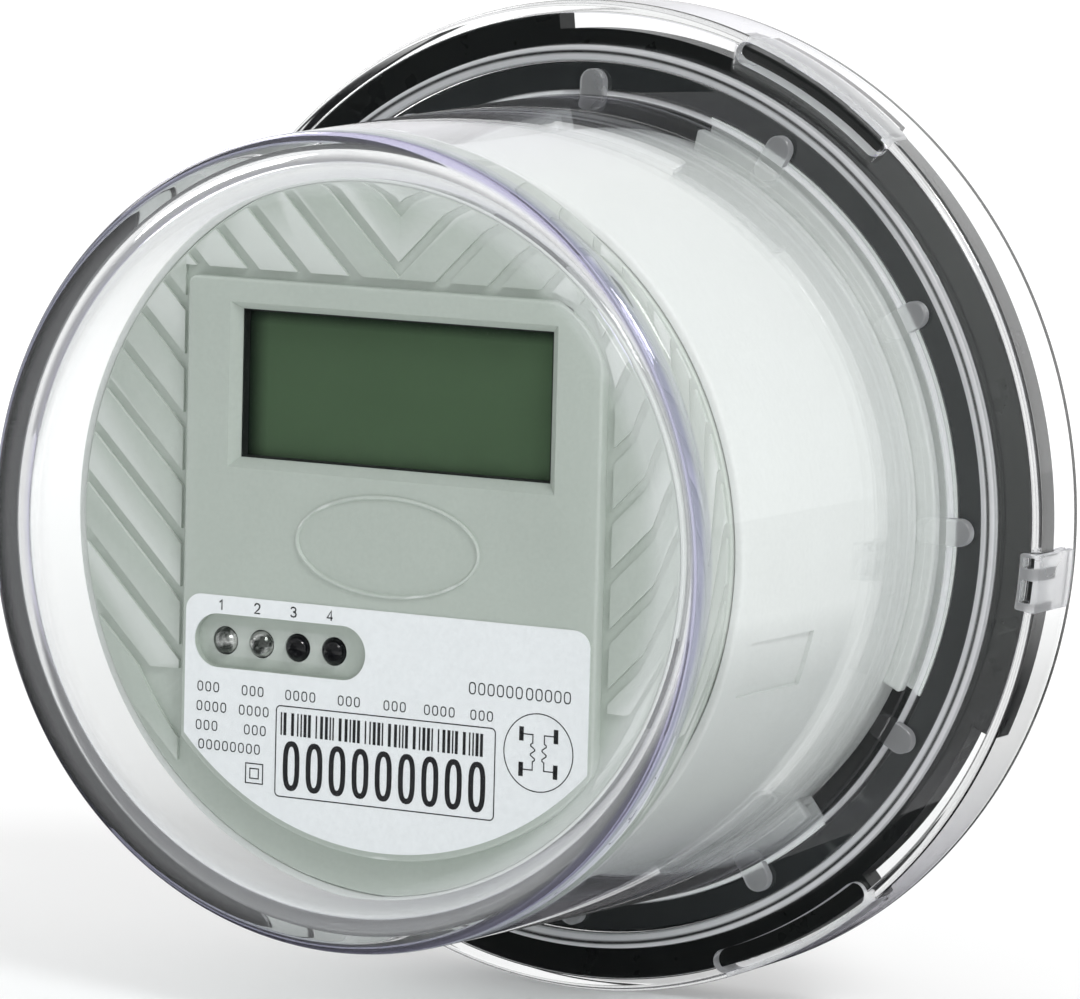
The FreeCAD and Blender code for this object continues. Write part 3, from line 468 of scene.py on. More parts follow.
def clear(name, rough=0.012, milk=0.0, highlight_rings=(), violet=()):
    """Clear moulded polycarbonate: faint violet towards grazing edges and faint flow waviness.
    Milk is a share of white scatter; ridges are rings that carry more of it as painted highlight, and violet ones
    are tinted.
    Each ring is its radius, half width, share, front depth and rear depth."""
    n = Nodes(name)
    facing = n.add("LayerWeight", Blend=0.35).outputs["Facing"]
    steep = n.spread(facing, 0.0, 1.0, 0.55, 1.0)
    color = n.blend(steep, rgb(CLEAR_TINT), rgb(GRAZING_TINT))
    # Violet rings: painted lines standing in for edges seen through the wall.
    for ring in violet:
        color = n.blend(n.ridge(*ring), color, rgb(VIOLET_TINT))
    flow = n.bump(n.noise(28.0, 2.0, 0.4), 0.12, 0.05)
    haze = n.spread(n.noise(55.0, 4.0), rough * 0.5, rough * 1.6)
    glass = n.add("BsdfPrincipled", Metallic=0.0, IOR=POLYCARBONATE_IOR)
    glass.inputs["Transmission Weight"].default_value = 1.0
    n.feed(glass.inputs["Base Color"], color)
    n.feed(glass.inputs["Roughness"], haze)
    n.feed(glass.inputs["Normal"], flow)
    through = n.add("BsdfTransparent", Color=(0.95, 0.96, 0.965, 1.0))
    path = n.add("LightPath").outputs
    soft = n.add("Math", operation="MAXIMUM")
    n.feed(soft.inputs[0], path["Is Shadow Ray"])
    n.feed(soft.inputs[1], path["Is Diffuse Ray"])
    mix = n.add("MixShader")
    n.feed(mix.inputs[0], soft.outputs[0])
    n.feed(mix.inputs[1], glass.outputs[0])
    n.feed(mix.inputs[2], through.outputs[0])
    if not milk and not highlight_rings:
        return n.surface(mix.outputs[0])
    share = milk
    # White scatter: milk is real frosting, the rings add painted highlight.
    for ring in highlight_rings:
        share = n.sum(share, n.ridge(*ring))
    white = n.blend(n.noise(220.0, 3.0), rgb((0.82, 0.83, 0.86)), rgb((0.95, 0.95, 0.97)))
    scatter = n.add("MixShader")
    n.feed(scatter.inputs[0], 0.5)
    n.feed(scatter.inputs[1], n.add("BsdfDiffuse", Color=white).outputs[0])
    n.feed(scatter.inputs[2], n.add("BsdfTranslucent", Color=white).outputs[0])
    cloud_and_highlight = n.add("MixShader")
    n.feed(cloud_and_highlight.inputs[0], share)
    n.feed(cloud_and_highlight.inputs[1], mix.outputs[0])
    n.feed(cloud_and_highlight.inputs[2], scatter.outputs[0])
    return n.surface(cloud_and_highlight.outputs[0])


def lamp_cup():
    """A clear lamp, drawn as coated metal whose dark and bright patches are painted reflections standing in for
    the reflector cup and chip post seen, bent about, through its dome.
    """
    n = Nodes("lamp_cup")
    wide = n.noise(420.0, 2.0, 0.5)
    # Painted reflections: random dark and bright patches.
    tone = n.blend(n.spread(wide, 0.0, 1.0, 0.42, 0.58), rgb((0.10, 0.11, 0.10)), rgb((0.86, 0.87, 0.84)))
    shader = n.add("BsdfPrincipled", Metallic=0.75)
    n.feed(shader.inputs["Base Color"], tone)
    n.feed(shader.inputs["Roughness"], n.spread(n.noise(900.0, 3.0), 0.12, 0.3))
    n.feed(shader.inputs["Normal"], n.bump(wide, 0.8, 0.5))
    shader.inputs["Coat Weight"].default_value = 1.0
    shader.inputs["Coat Roughness"].default_value = 0.03
    return n.surface(shader.outputs[0])


def display_glass():
    """The unlit display: dull green behind glass, with painted shadow darkening it under the window's left and
    upper walls.
    """
    n = Nodes("display_glass")
    split = n.add("SeparateXYZ")
    n.feed(split.inputs[0], n.coordinates)
    beside = n.spread(split.outputs["X"], 0.0, 1.0, -0.0300, -0.0262)
    below = n.spread(split.outputs["Z"], 1.0, 0.0, 0.0338, 0.0363)
    lit = n.product(beside, below)
    green = (0.068, 0.112, 0.062)
    mottle = n.blend(n.spread(n.noise(60.0, 3.0), 0.0, 1.0), rgb(green, 0.97), rgb(green, 1.03))
    # Painted shadow: near-black under the window's left and upper walls, dull green elsewhere.
    color = n.blend(n.spread(lit, 0.0, 1.0, 0.0, 1.0), rgb((0.006, 0.012, 0.008)), mottle)
    shader = n.add("BsdfPrincipled", IOR=1.5)
    n.feed(shader.inputs["Base Color"], color)
    n.feed(shader.inputs["Roughness"], n.spread(n.noise(300.0, 4.0), 0.1, 0.16))
    n.feed(shader.inputs["Normal"], n.bump(n.noise(500.0, 2.0), 0.1, 0.002))
    shader.inputs["Specular IOR Level"].default_value = 0.4
    return n.surface(shader.outputs[0])


def dress(obj, *materials):
    """Fill the object's material slots and keep the slot that each face asks for."""
    wanted = [face.material_index for face in obj.data.polygons]
    obj.data.materials.clear()
    for material in materials:
        obj.data.materials.append(material)
    obj.data.polygons.foreach_set("material_index", [min(k, len(materials) - 1) for k in wanted])
    return obj


def dress_node(node, material):
    """Give a CAD node a material through its slots."""
    obj = frame["nodes"][node]
    for place in obj.material_slots:
        place.link = "OBJECT"
        place.material = material


# ---------------------------------------------------------------- cover

SEAL_LUG, NUB, STOP = 354.9, 119.4, 193.4
# A violet ring on the cover's front edge: a painted line standing in for the inner front corner seen through the
# wall.
PAINTED_EDGE_LINE_RING = (68.0, 1.3, 0.85, -103.0, -99.5)
# Rings of white scatter on the cover: painted highlights along the drum's foot, the bead's two edges, the skirt
# and the front face.
PAINTED_HIGHLIGHT_RINGS = ((72.0, 0.6, 0.7, -17.4, -15.6), (78.3, 0.85, 0.85, -17.6, -15.6),
                (79.9, 0.6, 0.85, -17.6, -15.6), (87.7, 0.5, 0.25, -17.6, -13.0),
                (63.0, 5.5, 0.16, -103.0, -92.0))


def make_peg(angle):
    """A round-ended peg in the corner between the drum and the bead."""
    outline = []
    for k in range(25):
        a = -90 + 180 * k / 24
        outline.append((73.9 + 2.4 * math.cos(math.radians(a)), 2.4 * math.sin(math.radians(a))))
    outline += [(70.6, 2.4), (70.6, -2.4)]
    return marked(bevelled(prism("peg", turned(outline, angle), -15.9, -18.0), 0.35, 3), 1)


def make_cover():
    shell = lathe("cover_clear", [
        (0, -102.5, 0),
        (68.9, -102.5, 2.0),
        (71.8, -16.3, 0.5),
        (77.7, -16.3, 0.3),
        (77.7, -17.0, 0.5),
        (80.3, -17.0, 0.8),
        (80.3, -15.4, 0.3),
        (88.25, -15.4, 1.2),
        (88.25, 0, 0.3),
        (86.28, 0, 0.3),
        (86.28, -13.2, 0.4),
        (77.7, -13.2, 0.2),
        (77.7, -13.7, 0.2),
        (69.2, -13.7, 0.5),
        (66.3, -99.9, 7.0),
        (0, -99.9, 0),
    ], segments=480, closed=False, steps=16)

    adds = spun(make_peg, 12)
    adds += [prism("shelf", sector(83.7, 86.7, a, 19.0), -5.0, -7.4) for a in thirds(60.5)]
    adds += [prism("stop", sector(83.7, 86.7, STOP, 2.0, 4), -8.0, -13.5)]
    adds += [marked(bevelled(prism("lug", sector(85.2, 89.2, SEAL_LUG, 6.6, 8), -3.0, -16.6), 0.4, 3), 1)]
    adds += [marked(bevelled(prism("nub", sector(87.6, 89.2, NUB, 1.2, 4), -7.4, -9.4), 0.25, 2), 1)]
    combine(shell, adds, "UNION")
    cuts = [marked(prism("slot", sector(83.2, 87.4, a, 19.6, 24, True), -8.2, -16.4), 1)
            for a in thirds(60.2)]
    cuts += [prism("window", sector(85.9, 88.1, 357.2, 1.2, 4), -9.0, -17.6)]
    cuts += [prism("window", sector(85.9, 88.1, 353.9, 2.6, 6), -9.0, -17.6)]
    combine(shell, cuts, "DIFFERENCE")
    link(shell, COVER, 28)
    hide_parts("cover")
    dress(shell, clear("clear_cover", highlight_rings=PAINTED_HIGHLIGHT_RINGS, violet=(PAINTED_EDGE_LINE_RING,)),
          clear("frosted_clear", rough=0.3, milk=0.3))


# ---------------------------------------------------------------- base and gasket

BLADES = [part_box("blade_" + end) for end in ("line", "load", "neutral_upper", "neutral_lower")]
BLADE_GAP = 0.02
FEET, FLANGES = thirds(84.0), thirds(24.0)


def make_base():
    disc = lathe("base_black", [
        (0, 2, 0),
        (60, 2, 0.6),
        (60, -13, 0.5),
        (86.2, -13, 0.7),
        (86.2, -7.6, 0.4),
        (76, -7.6, 0.5),
        (76, 6, 1.2),
        (0, 6, 0),
    ], segments=480, closed=False, steps=6)
    cuts = [prism("gap", sector(83.2, 88.0, a, 24.0, 24), -6.6, -14.0) for a in FEET]
    for k in range(12):
        cuts.append(prism("pocket", sector(63.0, 71.0, SEAL_LUG + 30 * k, 25.0, 12), 7.0, 3.6))
    for low, high in BLADES:
        x0, x1, z0, z1 = low[0] / MM, high[0] / MM, low[2] / MM, high[2] / MM
        slit = box_outline(x0 - BLADE_GAP, x1 + BLADE_GAP, z0 - BLADE_GAP, z1 + BLADE_GAP)
        cuts.append(prism("slit", slit, 7.0, 1.0))
    combine(disc, cuts, "DIFFERENCE")
    link(disc, METER, 32)
    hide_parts("base")
    dress(disc, moulded("black_moulded", (0.007, 0.008, 0.0078), 0.3, 0.5, 0.006, 0.25, 0.08, 0.0))


def make_gasket():
    ring = lathe("gasket", [
        (72.6, -13.7, 0.15),
        (77.2, -13.7, 0.15),
        (77.2, -13.02, 0),
        (72.6, -13.02, 0),
    ], segments=360)
    link(ring, METER)
    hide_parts("cover_gasket")
    dress(ring, moulded("gasket_rubber", (0.018, 0.021, 0.022), 0.6, 0.25, 0.02, 0.3, 0.08, 0.05))


# ---------------------------------------------------------------- inner housing

def make_housing():
    drum = lathe("housing", [
        (62.2, -81.4, 0.25),
        (63.8, -81.4, 0.7),
        (65.0, -19.0, 0.5),
        (63.0, -19.0, 0.5),
        (62.0, -74.0, 0),
        (59.8, -76.0, 0),
        (59.8, -80.0, 0),
        (62.2, -80.0, 0),
    ], segments=360, steps=6)
    feet = [bevelled(prism("foot", sector(63.1, 64.95, a, 24.0, 24), -13.0, -20.5), 0.4, 2) for a in FEET]
    feet += [bevelled(prism("rear_flange", sector(63.5, 68.3, a, 96.0, 64), -16.5, -19.0), 0.5, 3)
             for a in FLANGES]
    feet += [prism("foot_flange", sector(53.3, 63.5, a, 9.0, 8), -13.0, -15.0) for a in FEET]
    feet += [prism("seat", sector(64.9, 72.3, a, 96.0, 64), -13.05, -13.6) for a in FLANGES]
    feet += [prism("web", sector(64.0, 66.0, a, 96.0, 64), -13.3, -17.0) for a in FLANGES]
    combine(drum, feet, "UNION")
    pockets = [prism("recess", sector(63.6, 70.0, a, 8.6, 8), -53.0, -75.0) for a in (343.5, 163.5)]
    combine(drum, pockets, "DIFFERENCE")
    link(drum, METER, 35)
    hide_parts("inner_housing")
    dress(drum, moulded("housing_plastic", (0.64, 0.66, 0.64), 0.5, 0.4, 0.012, 0.4, 0.02, 0.1))


# ---------------------------------------------------------------- faceplate

PANEL_FRONT, PLATE_FRONT, PLATE_REAR = -84.4, -82.0, -80.0
HALF, TOP, ARC = 40.4, 41.6, 55.4
GUTTER, GROOVE, APEX, PITCH = 1.6, 1.9, 44.8, 10.05
LAMP_ROW, LAMP_ROW_HALF = -20.7, 12.35
WINDOW_HALF, WINDOW_LOW, WINDOW_HIGH = 30.2, 11.0, 36.4
DISPLAY_SEAT = (-34.4, 34.4, 5.6, 41.4)


def panel_corners(inset=0.0):
    """The panel's outline as rounded corners joined to its lower arc."""
    half, top, arc = HALF - inset, TOP - inset, ARC - inset
    drop = math.sqrt(arc * arc - half * half)
    start = math.degrees(math.atan2(-drop, half))
    points = rounded_path([
        (half, -drop, 0.0),
        (half, top, 11.0 - inset),
        (-half, top, max(1.5 - inset, 0.4)),
        (-half, -drop, 0.0),
    ], False, 16)
    steps = 72
    sweep = 180 + 2 * start
    for k in range(1, steps):
        points.append(polar(arc, -180 - start + sweep * k / steps))
    return points


def stadium(x, z, half, radius, steps=20):
    points = [(x + half + radius * math.cos(math.pi * (k / steps - 0.5)),
               z + radius * math.sin(math.pi * (k / steps - 0.5))) for k in range(steps + 1)]
    points += [(x - half - radius * math.cos(math.pi * (k / steps - 0.5)),
                z - radius * math.sin(math.pi * (k / steps - 0.5))) for k in range(steps + 1)]
    return points


def make_pads():
    """Raised chevron pads round the panel, with softened edges."""
    pads = prism("pads", [polar(61.4, 360 * k / 240) for k in range(240)], PLATE_FRONT + 0.4, PLATE_FRONT - 0.7)
    side = [polar(ARC + GUTTER, -90 + 180 * k / 90) for k in range(91)]
    lower = [point for point in side if point[1] < -26]
    cuts = [
        ("gutter", box_outline(-HALF - GUTTER, HALF + GUTTER, -70, TOP + GUTTER)),
        ("below", box_outline(-70, 70, -70, -43)),
        ("lower_right", lower + [(20, -26)]),
        ("lower_left", [(-x, z) for x, z in reversed(lower)] + [(-20, -26)]),
    ]
    width = GROOVE * math.sqrt(2) / 2
    for k in range(-2, 15):
        apex = APEX - PITCH * k
        cuts.append(("groove", [
            (0, apex - width), (95, apex + 95 - width), (95, apex + 95 + width),
            (0, apex + width), (-95, apex + 95 + width), (-95, apex + 95 - width)]))
    cuts = [prism(name, outline, PLATE_FRONT + 2, PLATE_FRONT - 2) for name, outline in cuts]
    combine(pads, cuts, "DIFFERENCE")
    return bevelled(pads, 0.6, 4, 50)


def make_panel():
    panel = prism("panel", panel_corners(), PLATE_REAR, PANEL_FRONT)
    bevelled(panel, 0.55, 3, 50)
    recess = prism("recess", stadium(-20.7, LAMP_ROW, LAMP_ROW_HALF, 4.65), PANEL_FRONT + 1.3, PANEL_FRONT - 1)
    holes = [prism("lamp_hole", circle(x, z, 2.45, 32), PLATE_REAR + 1, PANEL_FRONT - 1)
             for x, z in lamp_places()]
    seat = prism("seat", box_outline(*DISPLAY_SEAT), PLATE_REAR + 1, -80.95)
    combine(panel, [frame_hole(), recess, *holes, seat], "DIFFERENCE")
    return panel


def frame_hole():
    """The display window: a wide bevel, then straight walls."""
    half, low, high, slope = WINDOW_HALF, WINDOW_LOW, WINDOW_HIGH, 1.7
    rings = []
    for grow, depth in ((slope + 0.55, PANEL_FRONT - 0.5), (slope, PANEL_FRONT), (0.12, PANEL_FRONT + 1.42),
                        (0.0, PANEL_FRONT + 1.62), (0.0, PLATE_REAR + 1)):
        rings.append([(-half - grow, depth, low - grow), (half + grow, depth, low - grow),
                      (half + grow, depth, high + 0.7 * grow), (-half - grow, depth, high + 0.7 * grow)])
    verts = [v for ring in rings for v in ring]
    faces = [(0, 1, 2, 3), tuple(range(len(verts) - 1, len(verts) - 5, -1))]
    for k in range(len(rings) - 1):
        for j in range(4):
            i = (j + 1) % 4
            faces.append((4 * k + j, 4 * k + i, 4 * k + 4 + i, 4 * k + 4 + j))
    return raw("window", verts, faces)


def make_badge():
    """A plain oval with a thin raised rim."""
    loops = []
    for inset, depth in ((0.0, 0.15), (0.1, -0.34), (0.26, -0.44), (0.44, -0.44), (0.6, -0.3), (0.75, -0.06)):
        loops.append([((18.05 - inset) * math.cos(math.tau * k / 96), PANEL_FRONT + depth,
                       -2.0 + (8.7 - inset) * math.sin(math.tau * k / 96)) for k in range(96)])
    verts = [v for loop in loops for v in loop]
    faces = [tuple(range(96)), tuple(range(len(verts) - 1, len(verts) - 97, -1))]
    for k in range(len(loops) - 1):
        for j in range(96):
            i = (j + 1) % 96
            faces.append((96 * k + j, 96 * k + i, 96 * (k + 1) + i, 96 * (k + 1) + j))
    return raw("badge", verts, faces)


def make_faceplate():
    disc = lathe("plate", [(0, PLATE_FRONT, 0), (62.0, PLATE_FRONT, 0.4), (62.0, PLATE_REAR, 0.1),
                           (0, PLATE_REAR, 0)], segments=240, closed=False)
    hole = prism("hole", box_outline(*DISPLAY_SEAT), PLATE_REAR + 1, PLATE_FRONT - 1)
    lamps = prism("hole", stadium(-21.5, LAMP_ROW, LAMP_ROW_HALF, 3.4), PLATE_REAR + 1, PLATE_FRONT - 1)
    combine(disc, [hole, lamps], "DIFFERENCE")
    plate = merged("faceplate_moulding", [disc, make_pads(), make_panel(), make_badge()])
    link(plate, METER, 35)
    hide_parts("faceplate")
    dress(plate, moulded("faceplate_plastic", (0.45, 0.495, 0.447), 0.46, 0.28, 0.012, 0.45, 0.02, 0.3))


def lamp_places():
    """The middle of each lamp in its row, as (x, z)."""
    places = []
    for name in ("led_impulse", "led_reverse", "ir_transmitter", "ir_receiver"):
        low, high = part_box(name)
        places.append(((low[0] + high[0]) / 2 / MM, (low[2] + high[2]) / 2 / MM))
    return places


# ---------------------------------------------------------------- the print on the nameplate

INK_REAR, INK_FRONT = -84.6, -84.65


class Ink:
    """Thin raised strokes on the nameplate, gathered into one mesh."""

    def __init__(self):
        self.verts, self.faces = [], []

    def stroke(self, path, width, closed=False):
        """A ribbon along a path of (x, z) points."""
        points = [Vector(point) for point in path]
        count = len(points)
        first = len(self.verts)
        for k, point in enumerate(points):
            along = Vector((0.0, 0.0))
            if k > 0 or closed:
                along += (point - points[k - 1]).normalized()
            if k < count - 1 or closed:
                along += (points[(k + 1) % count] - point).normalized()
            spread = 2 / max(along.length, 1.2) if 0 < k < count - 1 or closed else 1.0
            across = Vector((-along.y, along.x)).normalized() * width / 2 * spread
            left, right = point + across, point - across
            for corner, depth in ((left, INK_REAR), (right, INK_REAR), (right, INK_FRONT), (left, INK_FRONT)):
                self.verts.append((corner.x, depth, corner.y))
        for k in range(count if closed else count - 1):
            a, b = first + 4 * k, first + 4 * ((k + 1) % count)
            self.faces += [(a + i, a + (i + 1) % 4, b + (i + 1) % 4, b + i) for i in range(4)]
        if not closed:
            last = first + 4 * (count - 1)
            self.faces += [tuple(range(first, first + 4)), tuple(range(last + 3, last - 1, -1))]

    def bar(self, x, width, low, high):
        self.stroke([(x, low), (x, high)], width)

    def digit(self, figure, x, z, width, height, weight):
        """A figure with its lower left corner at x, z."""
        for path, closed in FIGURES[figure]:
            inset = weight / 2
            scaled = [(x + inset + a * (width - weight), z + inset + b * (height - weight)) for a, b in path]
            self.stroke(scaled, weight, closed)

    def row(self, places, z, width, height, weight, pitch):
        """Words made of noughts: places are (left edge, number of noughts)."""
        for left, count in places:
            for k in range(count):
                self.digit("0", left + k * pitch, z, width, height, weight)


def nought():
    path = []
    for k in range(24):
        c, s = math.cos(math.tau * k / 24), math.sin(math.tau * k / 24)
        path.append((0.5 + 0.5 * math.copysign(abs(c) ** 0.8, c), 0.5 + 0.5 * math.copysign(abs(s) ** 0.62, s)))
    return path


FIGURES = {
    "0": [(nought(), True)],
    "1": [([(0.15, 0.76), (0.6, 1.0), (0.6, 0.0)], False)],
    "2": [([(0.0, 0.74), (0.12, 0.93), (0.38, 1.0), (0.68, 0.98), (0.92, 0.85), (0.95, 0.66),
            (0.75, 0.44), (0.0, 0.0), (1.0, 0.0)], False)],
    "3": [([(0.02, 0.82), (0.2, 0.97), (0.5, 1.0), (0.8, 0.93), (0.92, 0.76), (0.8, 0.58), (0.45, 0.52)], False),
          ([(0.45, 0.52), (0.85, 0.45), (1.0, 0.27), (0.86, 0.07), (0.5, 0.0), (0.18, 0.04), (0.0, 0.2)], False)],
    "4": [([(0.74, 0.0), (0.74, 1.0), (0.0, 0.28), (1.0, 0.28)], False)],
}


def print_captions(ink):
    """Plain lamp numbers, and words of noughts where a rating plate has its figures."""
    for figure, (x, z) in zip("1234", lamp_places()):
        ink.digit(figure, x - 0.75, -15.5, 1.3, 1.9, 0.24)
    size = (1.15, 1.75, 0.19, 1.6)
    ink.row([(-36.9, 3), (-28.0, 3), (-19.3, 4), (-8.9, 3), (0.1, 3), (8.0, 4), (17.0, 3)], -29.7, *size)
    ink.row([(-37.0, 4), (-28.5, 4)], -33.1, *size)
    ink.row([(-37.1, 3), (-27.4, 3)], -36.4, *size)
    ink.row([(-36.5, 8)], -39.7, *size)
    ink.row([(16.6, 6), (27.6, 5)], -25.4, 1.35, 2.1, 0.2, 1.8)


def print_code_box(ink):
    """A framed box with plain bars that carry no code above a row of noughts."""
    left, right, low, high = -21.0, 21.9, -46.4, -30.8
    ink.stroke(rounded_path([(left, low, 0.8), (right, low, 0.8), (right, high, 0.8), (left, high, 0.8)], True, 4),
               0.2, True)
    x = left + 0.9
    step = 0
    while x < right - 1.6:
        width = (0.28, 0.56, 0.28, 0.84, 0.56, 0.28, 1.12)[step * step % 7]
        ink.bar(x + width / 2, width, high - 5.0, high - 1.1)
        x += width + (0.3, 0.62, 0.34, 0.95, 0.4)[step * 3 % 5]
        step += 1
    for k in range(9):
        ink.digit("0", left + 1.5 + 4.55 * k, low + 1.1, 3.3, 8.6, 0.95)


def print_wiring(ink):
    """A plain wiring circle with four terminals and two loops."""
    x, z, radius = 30.2, -34.1, 6.6
    ink.stroke(circle(x, z, radius, 72), 0.18, True)
    for side in (-1, 1):
        for level in (3.0, -3.0):
            ink.bar(x + side * 3.3, 0.85, z + level - 1.2, z + level + 1.2)
        loop = [(x + side * 3.3, z + 3.0), (x + side * 1.1, z + 3.0)]
        for k in range(13):
            loop.append((x + side * (1.1 + 0.45 * math.sin(math.pi * k / 3)), z + 1.6 - 3.2 * k / 12))
        loop += [(x + side * 1.1, z - 3.0), (x + side * 3.3, z - 3.0)]
        ink.stroke(loop, 0.2)


def print_square_mark(ink):
    """Two squares, one in the other."""
    x, z = -25.2, -43.0
    for half in (1.7, 0.85):
        ink.stroke(box_outline(x - half, x + half, z - half, z + half), 0.2, True)


def make_label_print():
    ink = Ink()
    print_captions(ink)
    print_code_box(ink)
    print_wiring(ink)
    print_square_mark(ink)
    print_mesh = raw("label_print", ink.verts, ink.faces)
    link(print_mesh, METER)
    dress(print_mesh, moulded("label_ink", (0.02, 0.02, 0.022), 0.5, 0.3, 0.002, 0.3, 0.1, 0.0))


def make_window_liner():
    """A near-black lining on the window's walls, a dark sheet that paints the shade of a deep recess, seen on its
    left and upper walls.
    """
    outer = box_outline(-WINDOW_HALF, WINDOW_HALF, WINDOW_LOW, WINDOW_HIGH)
    inner = box_outline(-29.95, 29.95, 11.25, 36.15)
    verts = [(x, y, z) for y in (-82.7, -80.97) for x, z in outer + inner]
    faces = []
    for k in range(4):
        j = (k + 1) % 4
        faces += [(k, j, j + 4, k + 4), (k + 8, j + 8, j + 12, k + 12), (k, j, j + 8, k + 8),
                  (k + 4, j + 4, j + 12, k + 12)]
    liner = raw("window_liner", verts, faces)
    link(liner, METER)
    # Near-black lining that paints the recess's shade on the window's walls.
    dress(liner, moulded("liner_painted_shade", (0.015, 0.018, 0.016), 0.5, 0.3, 0.01, 0.2, 0.1, 0.0))


# ---------------------------------------------------------------- the floor and the light

FRONT_LIGHT, BACK_LIGHT = 0.77, 1.0
FRONT_MIRRORED = 0.3
FLAG_TOWARDS = (-0.4815, -0.8686, -0.1162)
LIGHT_AIM = (0, -0.05, 0)
ONCE, TWICE = 0.5, 1.5


def make_stage():
    """A white floor that glows a little. Rays mirrored once see a dark strip on it, and rays mirrored
    twice, mostly inside the cover's wall, see it white."""
    size = 30.0
    mesh = bpy.data.meshes.new("floor")
    ground = CAD_BOX[0][2] - 0.0001
    mesh.from_pydata([(-size, -size, ground), (size, -size, ground), (size, size, ground), (-size, size, ground)],
                     [], [(0, 1, 2, 3)])
    floor = bpy.data.objects.new("floor", mesh)
    scene.collection.objects.link(floor)
    n = Nodes("pale_floor")
    shader = n.add("BsdfPrincipled", Roughness=0.7)
    tone = n.blend(n.spread(n.noise(3.0), 0.0, 1.0), rgb((0.68,) * 3), rgb((0.70,) * 3))
    n.feed(shader.inputs["Base Color"], tone)
    bounce = n.spread(n.add("LightPath").outputs["Is Diffuse Ray"], 0.0, 0.5, 0.0, 1.0)
    distance = n.add("VectorMath", operation="LENGTH")
    n.feed(distance.inputs[0], n.coordinates)
    far = n.spread(distance.outputs["Value"], 0.16, 0.5, 0.25, 0.9)
    glow = n.add("Math", operation="MAXIMUM")
    n.feed(glow.inputs[0], bounce)
    n.feed(glow.inputs[1], far)
    shader.inputs["Emission Color"].default_value = (1.0, 1.0, 1.0, 1.0)
    n.feed(shader.inputs["Emission Strength"], glow.outputs[0])
    path = n.add("LightPath")
    mirrored = n.add("Math", operation="GREATER_THAN")
    n.feed(mirrored.inputs[0], path.outputs["Glossy Depth"])
    mirrored.inputs[1].default_value = ONCE
    again = n.add("Math", operation="GREATER_THAN")
    n.feed(again.inputs[0], path.outputs["Glossy Depth"])
    again.inputs[1].default_value = TWICE
    mix = n.add("MixShader")
    n.feed(mix.inputs[0], mirrored.outputs[0])
    n.feed(mix.inputs[1], shader.outputs[0])
    place = n.add("SeparateXYZ")
    n.feed(place.inputs[0], n.coordinates)
    middle = n.spread(place.outputs["Y"], -5.4, 0.0, -10.0, 0.0)
    half = n.spread(place.outputs["Y"], 1.5, 0.1, -10.0, 0.0)
    offset = n.add("Math", operation="SUBTRACT")
    n.feed(offset.inputs[0], place.outputs["X"])
    n.feed(offset.inputs[1], middle)
    away = n.add("Math", operation="ABSOLUTE")
    n.feed(away.inputs[0], offset.outputs[0])
    share = n.add("Math", operation="DIVIDE")
    n.feed(share.inputs[0], away.outputs[0])
    n.feed(share.inputs[1], half)
    shade_of = n.blend(n.spread(share.outputs[0], 0.0, 1.0, 1.3, 2.2), (0.012, 0.012, 0.013, 1.0),
                       (0.8, 0.8, 0.8, 1.0))
    shade_of = n.blend(again.outputs[0], shade_of, (0.9, 0.9, 0.9, 1.0))
    n.feed(mix.inputs[2], n.add("Emission", Color=shade_of).outputs[0])
    dress(floor, n.surface(mix.outputs[0]))


def softbox(name, place, size, power):
    """A square white light that faces the meter."""
    data = bpy.data.lights.new(name, "AREA")
    data.shape = "RECTANGLE"
    data.size = data.size_y = size
    data.energy = power
    light = bpy.data.objects.new(name, data)
    scene.collection.objects.link(light)
    light.location = place
    light.rotation_mode = "QUATERNION"
    light.rotation_quaternion = (Vector(LIGHT_AIM) - Vector(place)).to_track_quat("-Z", "Y")


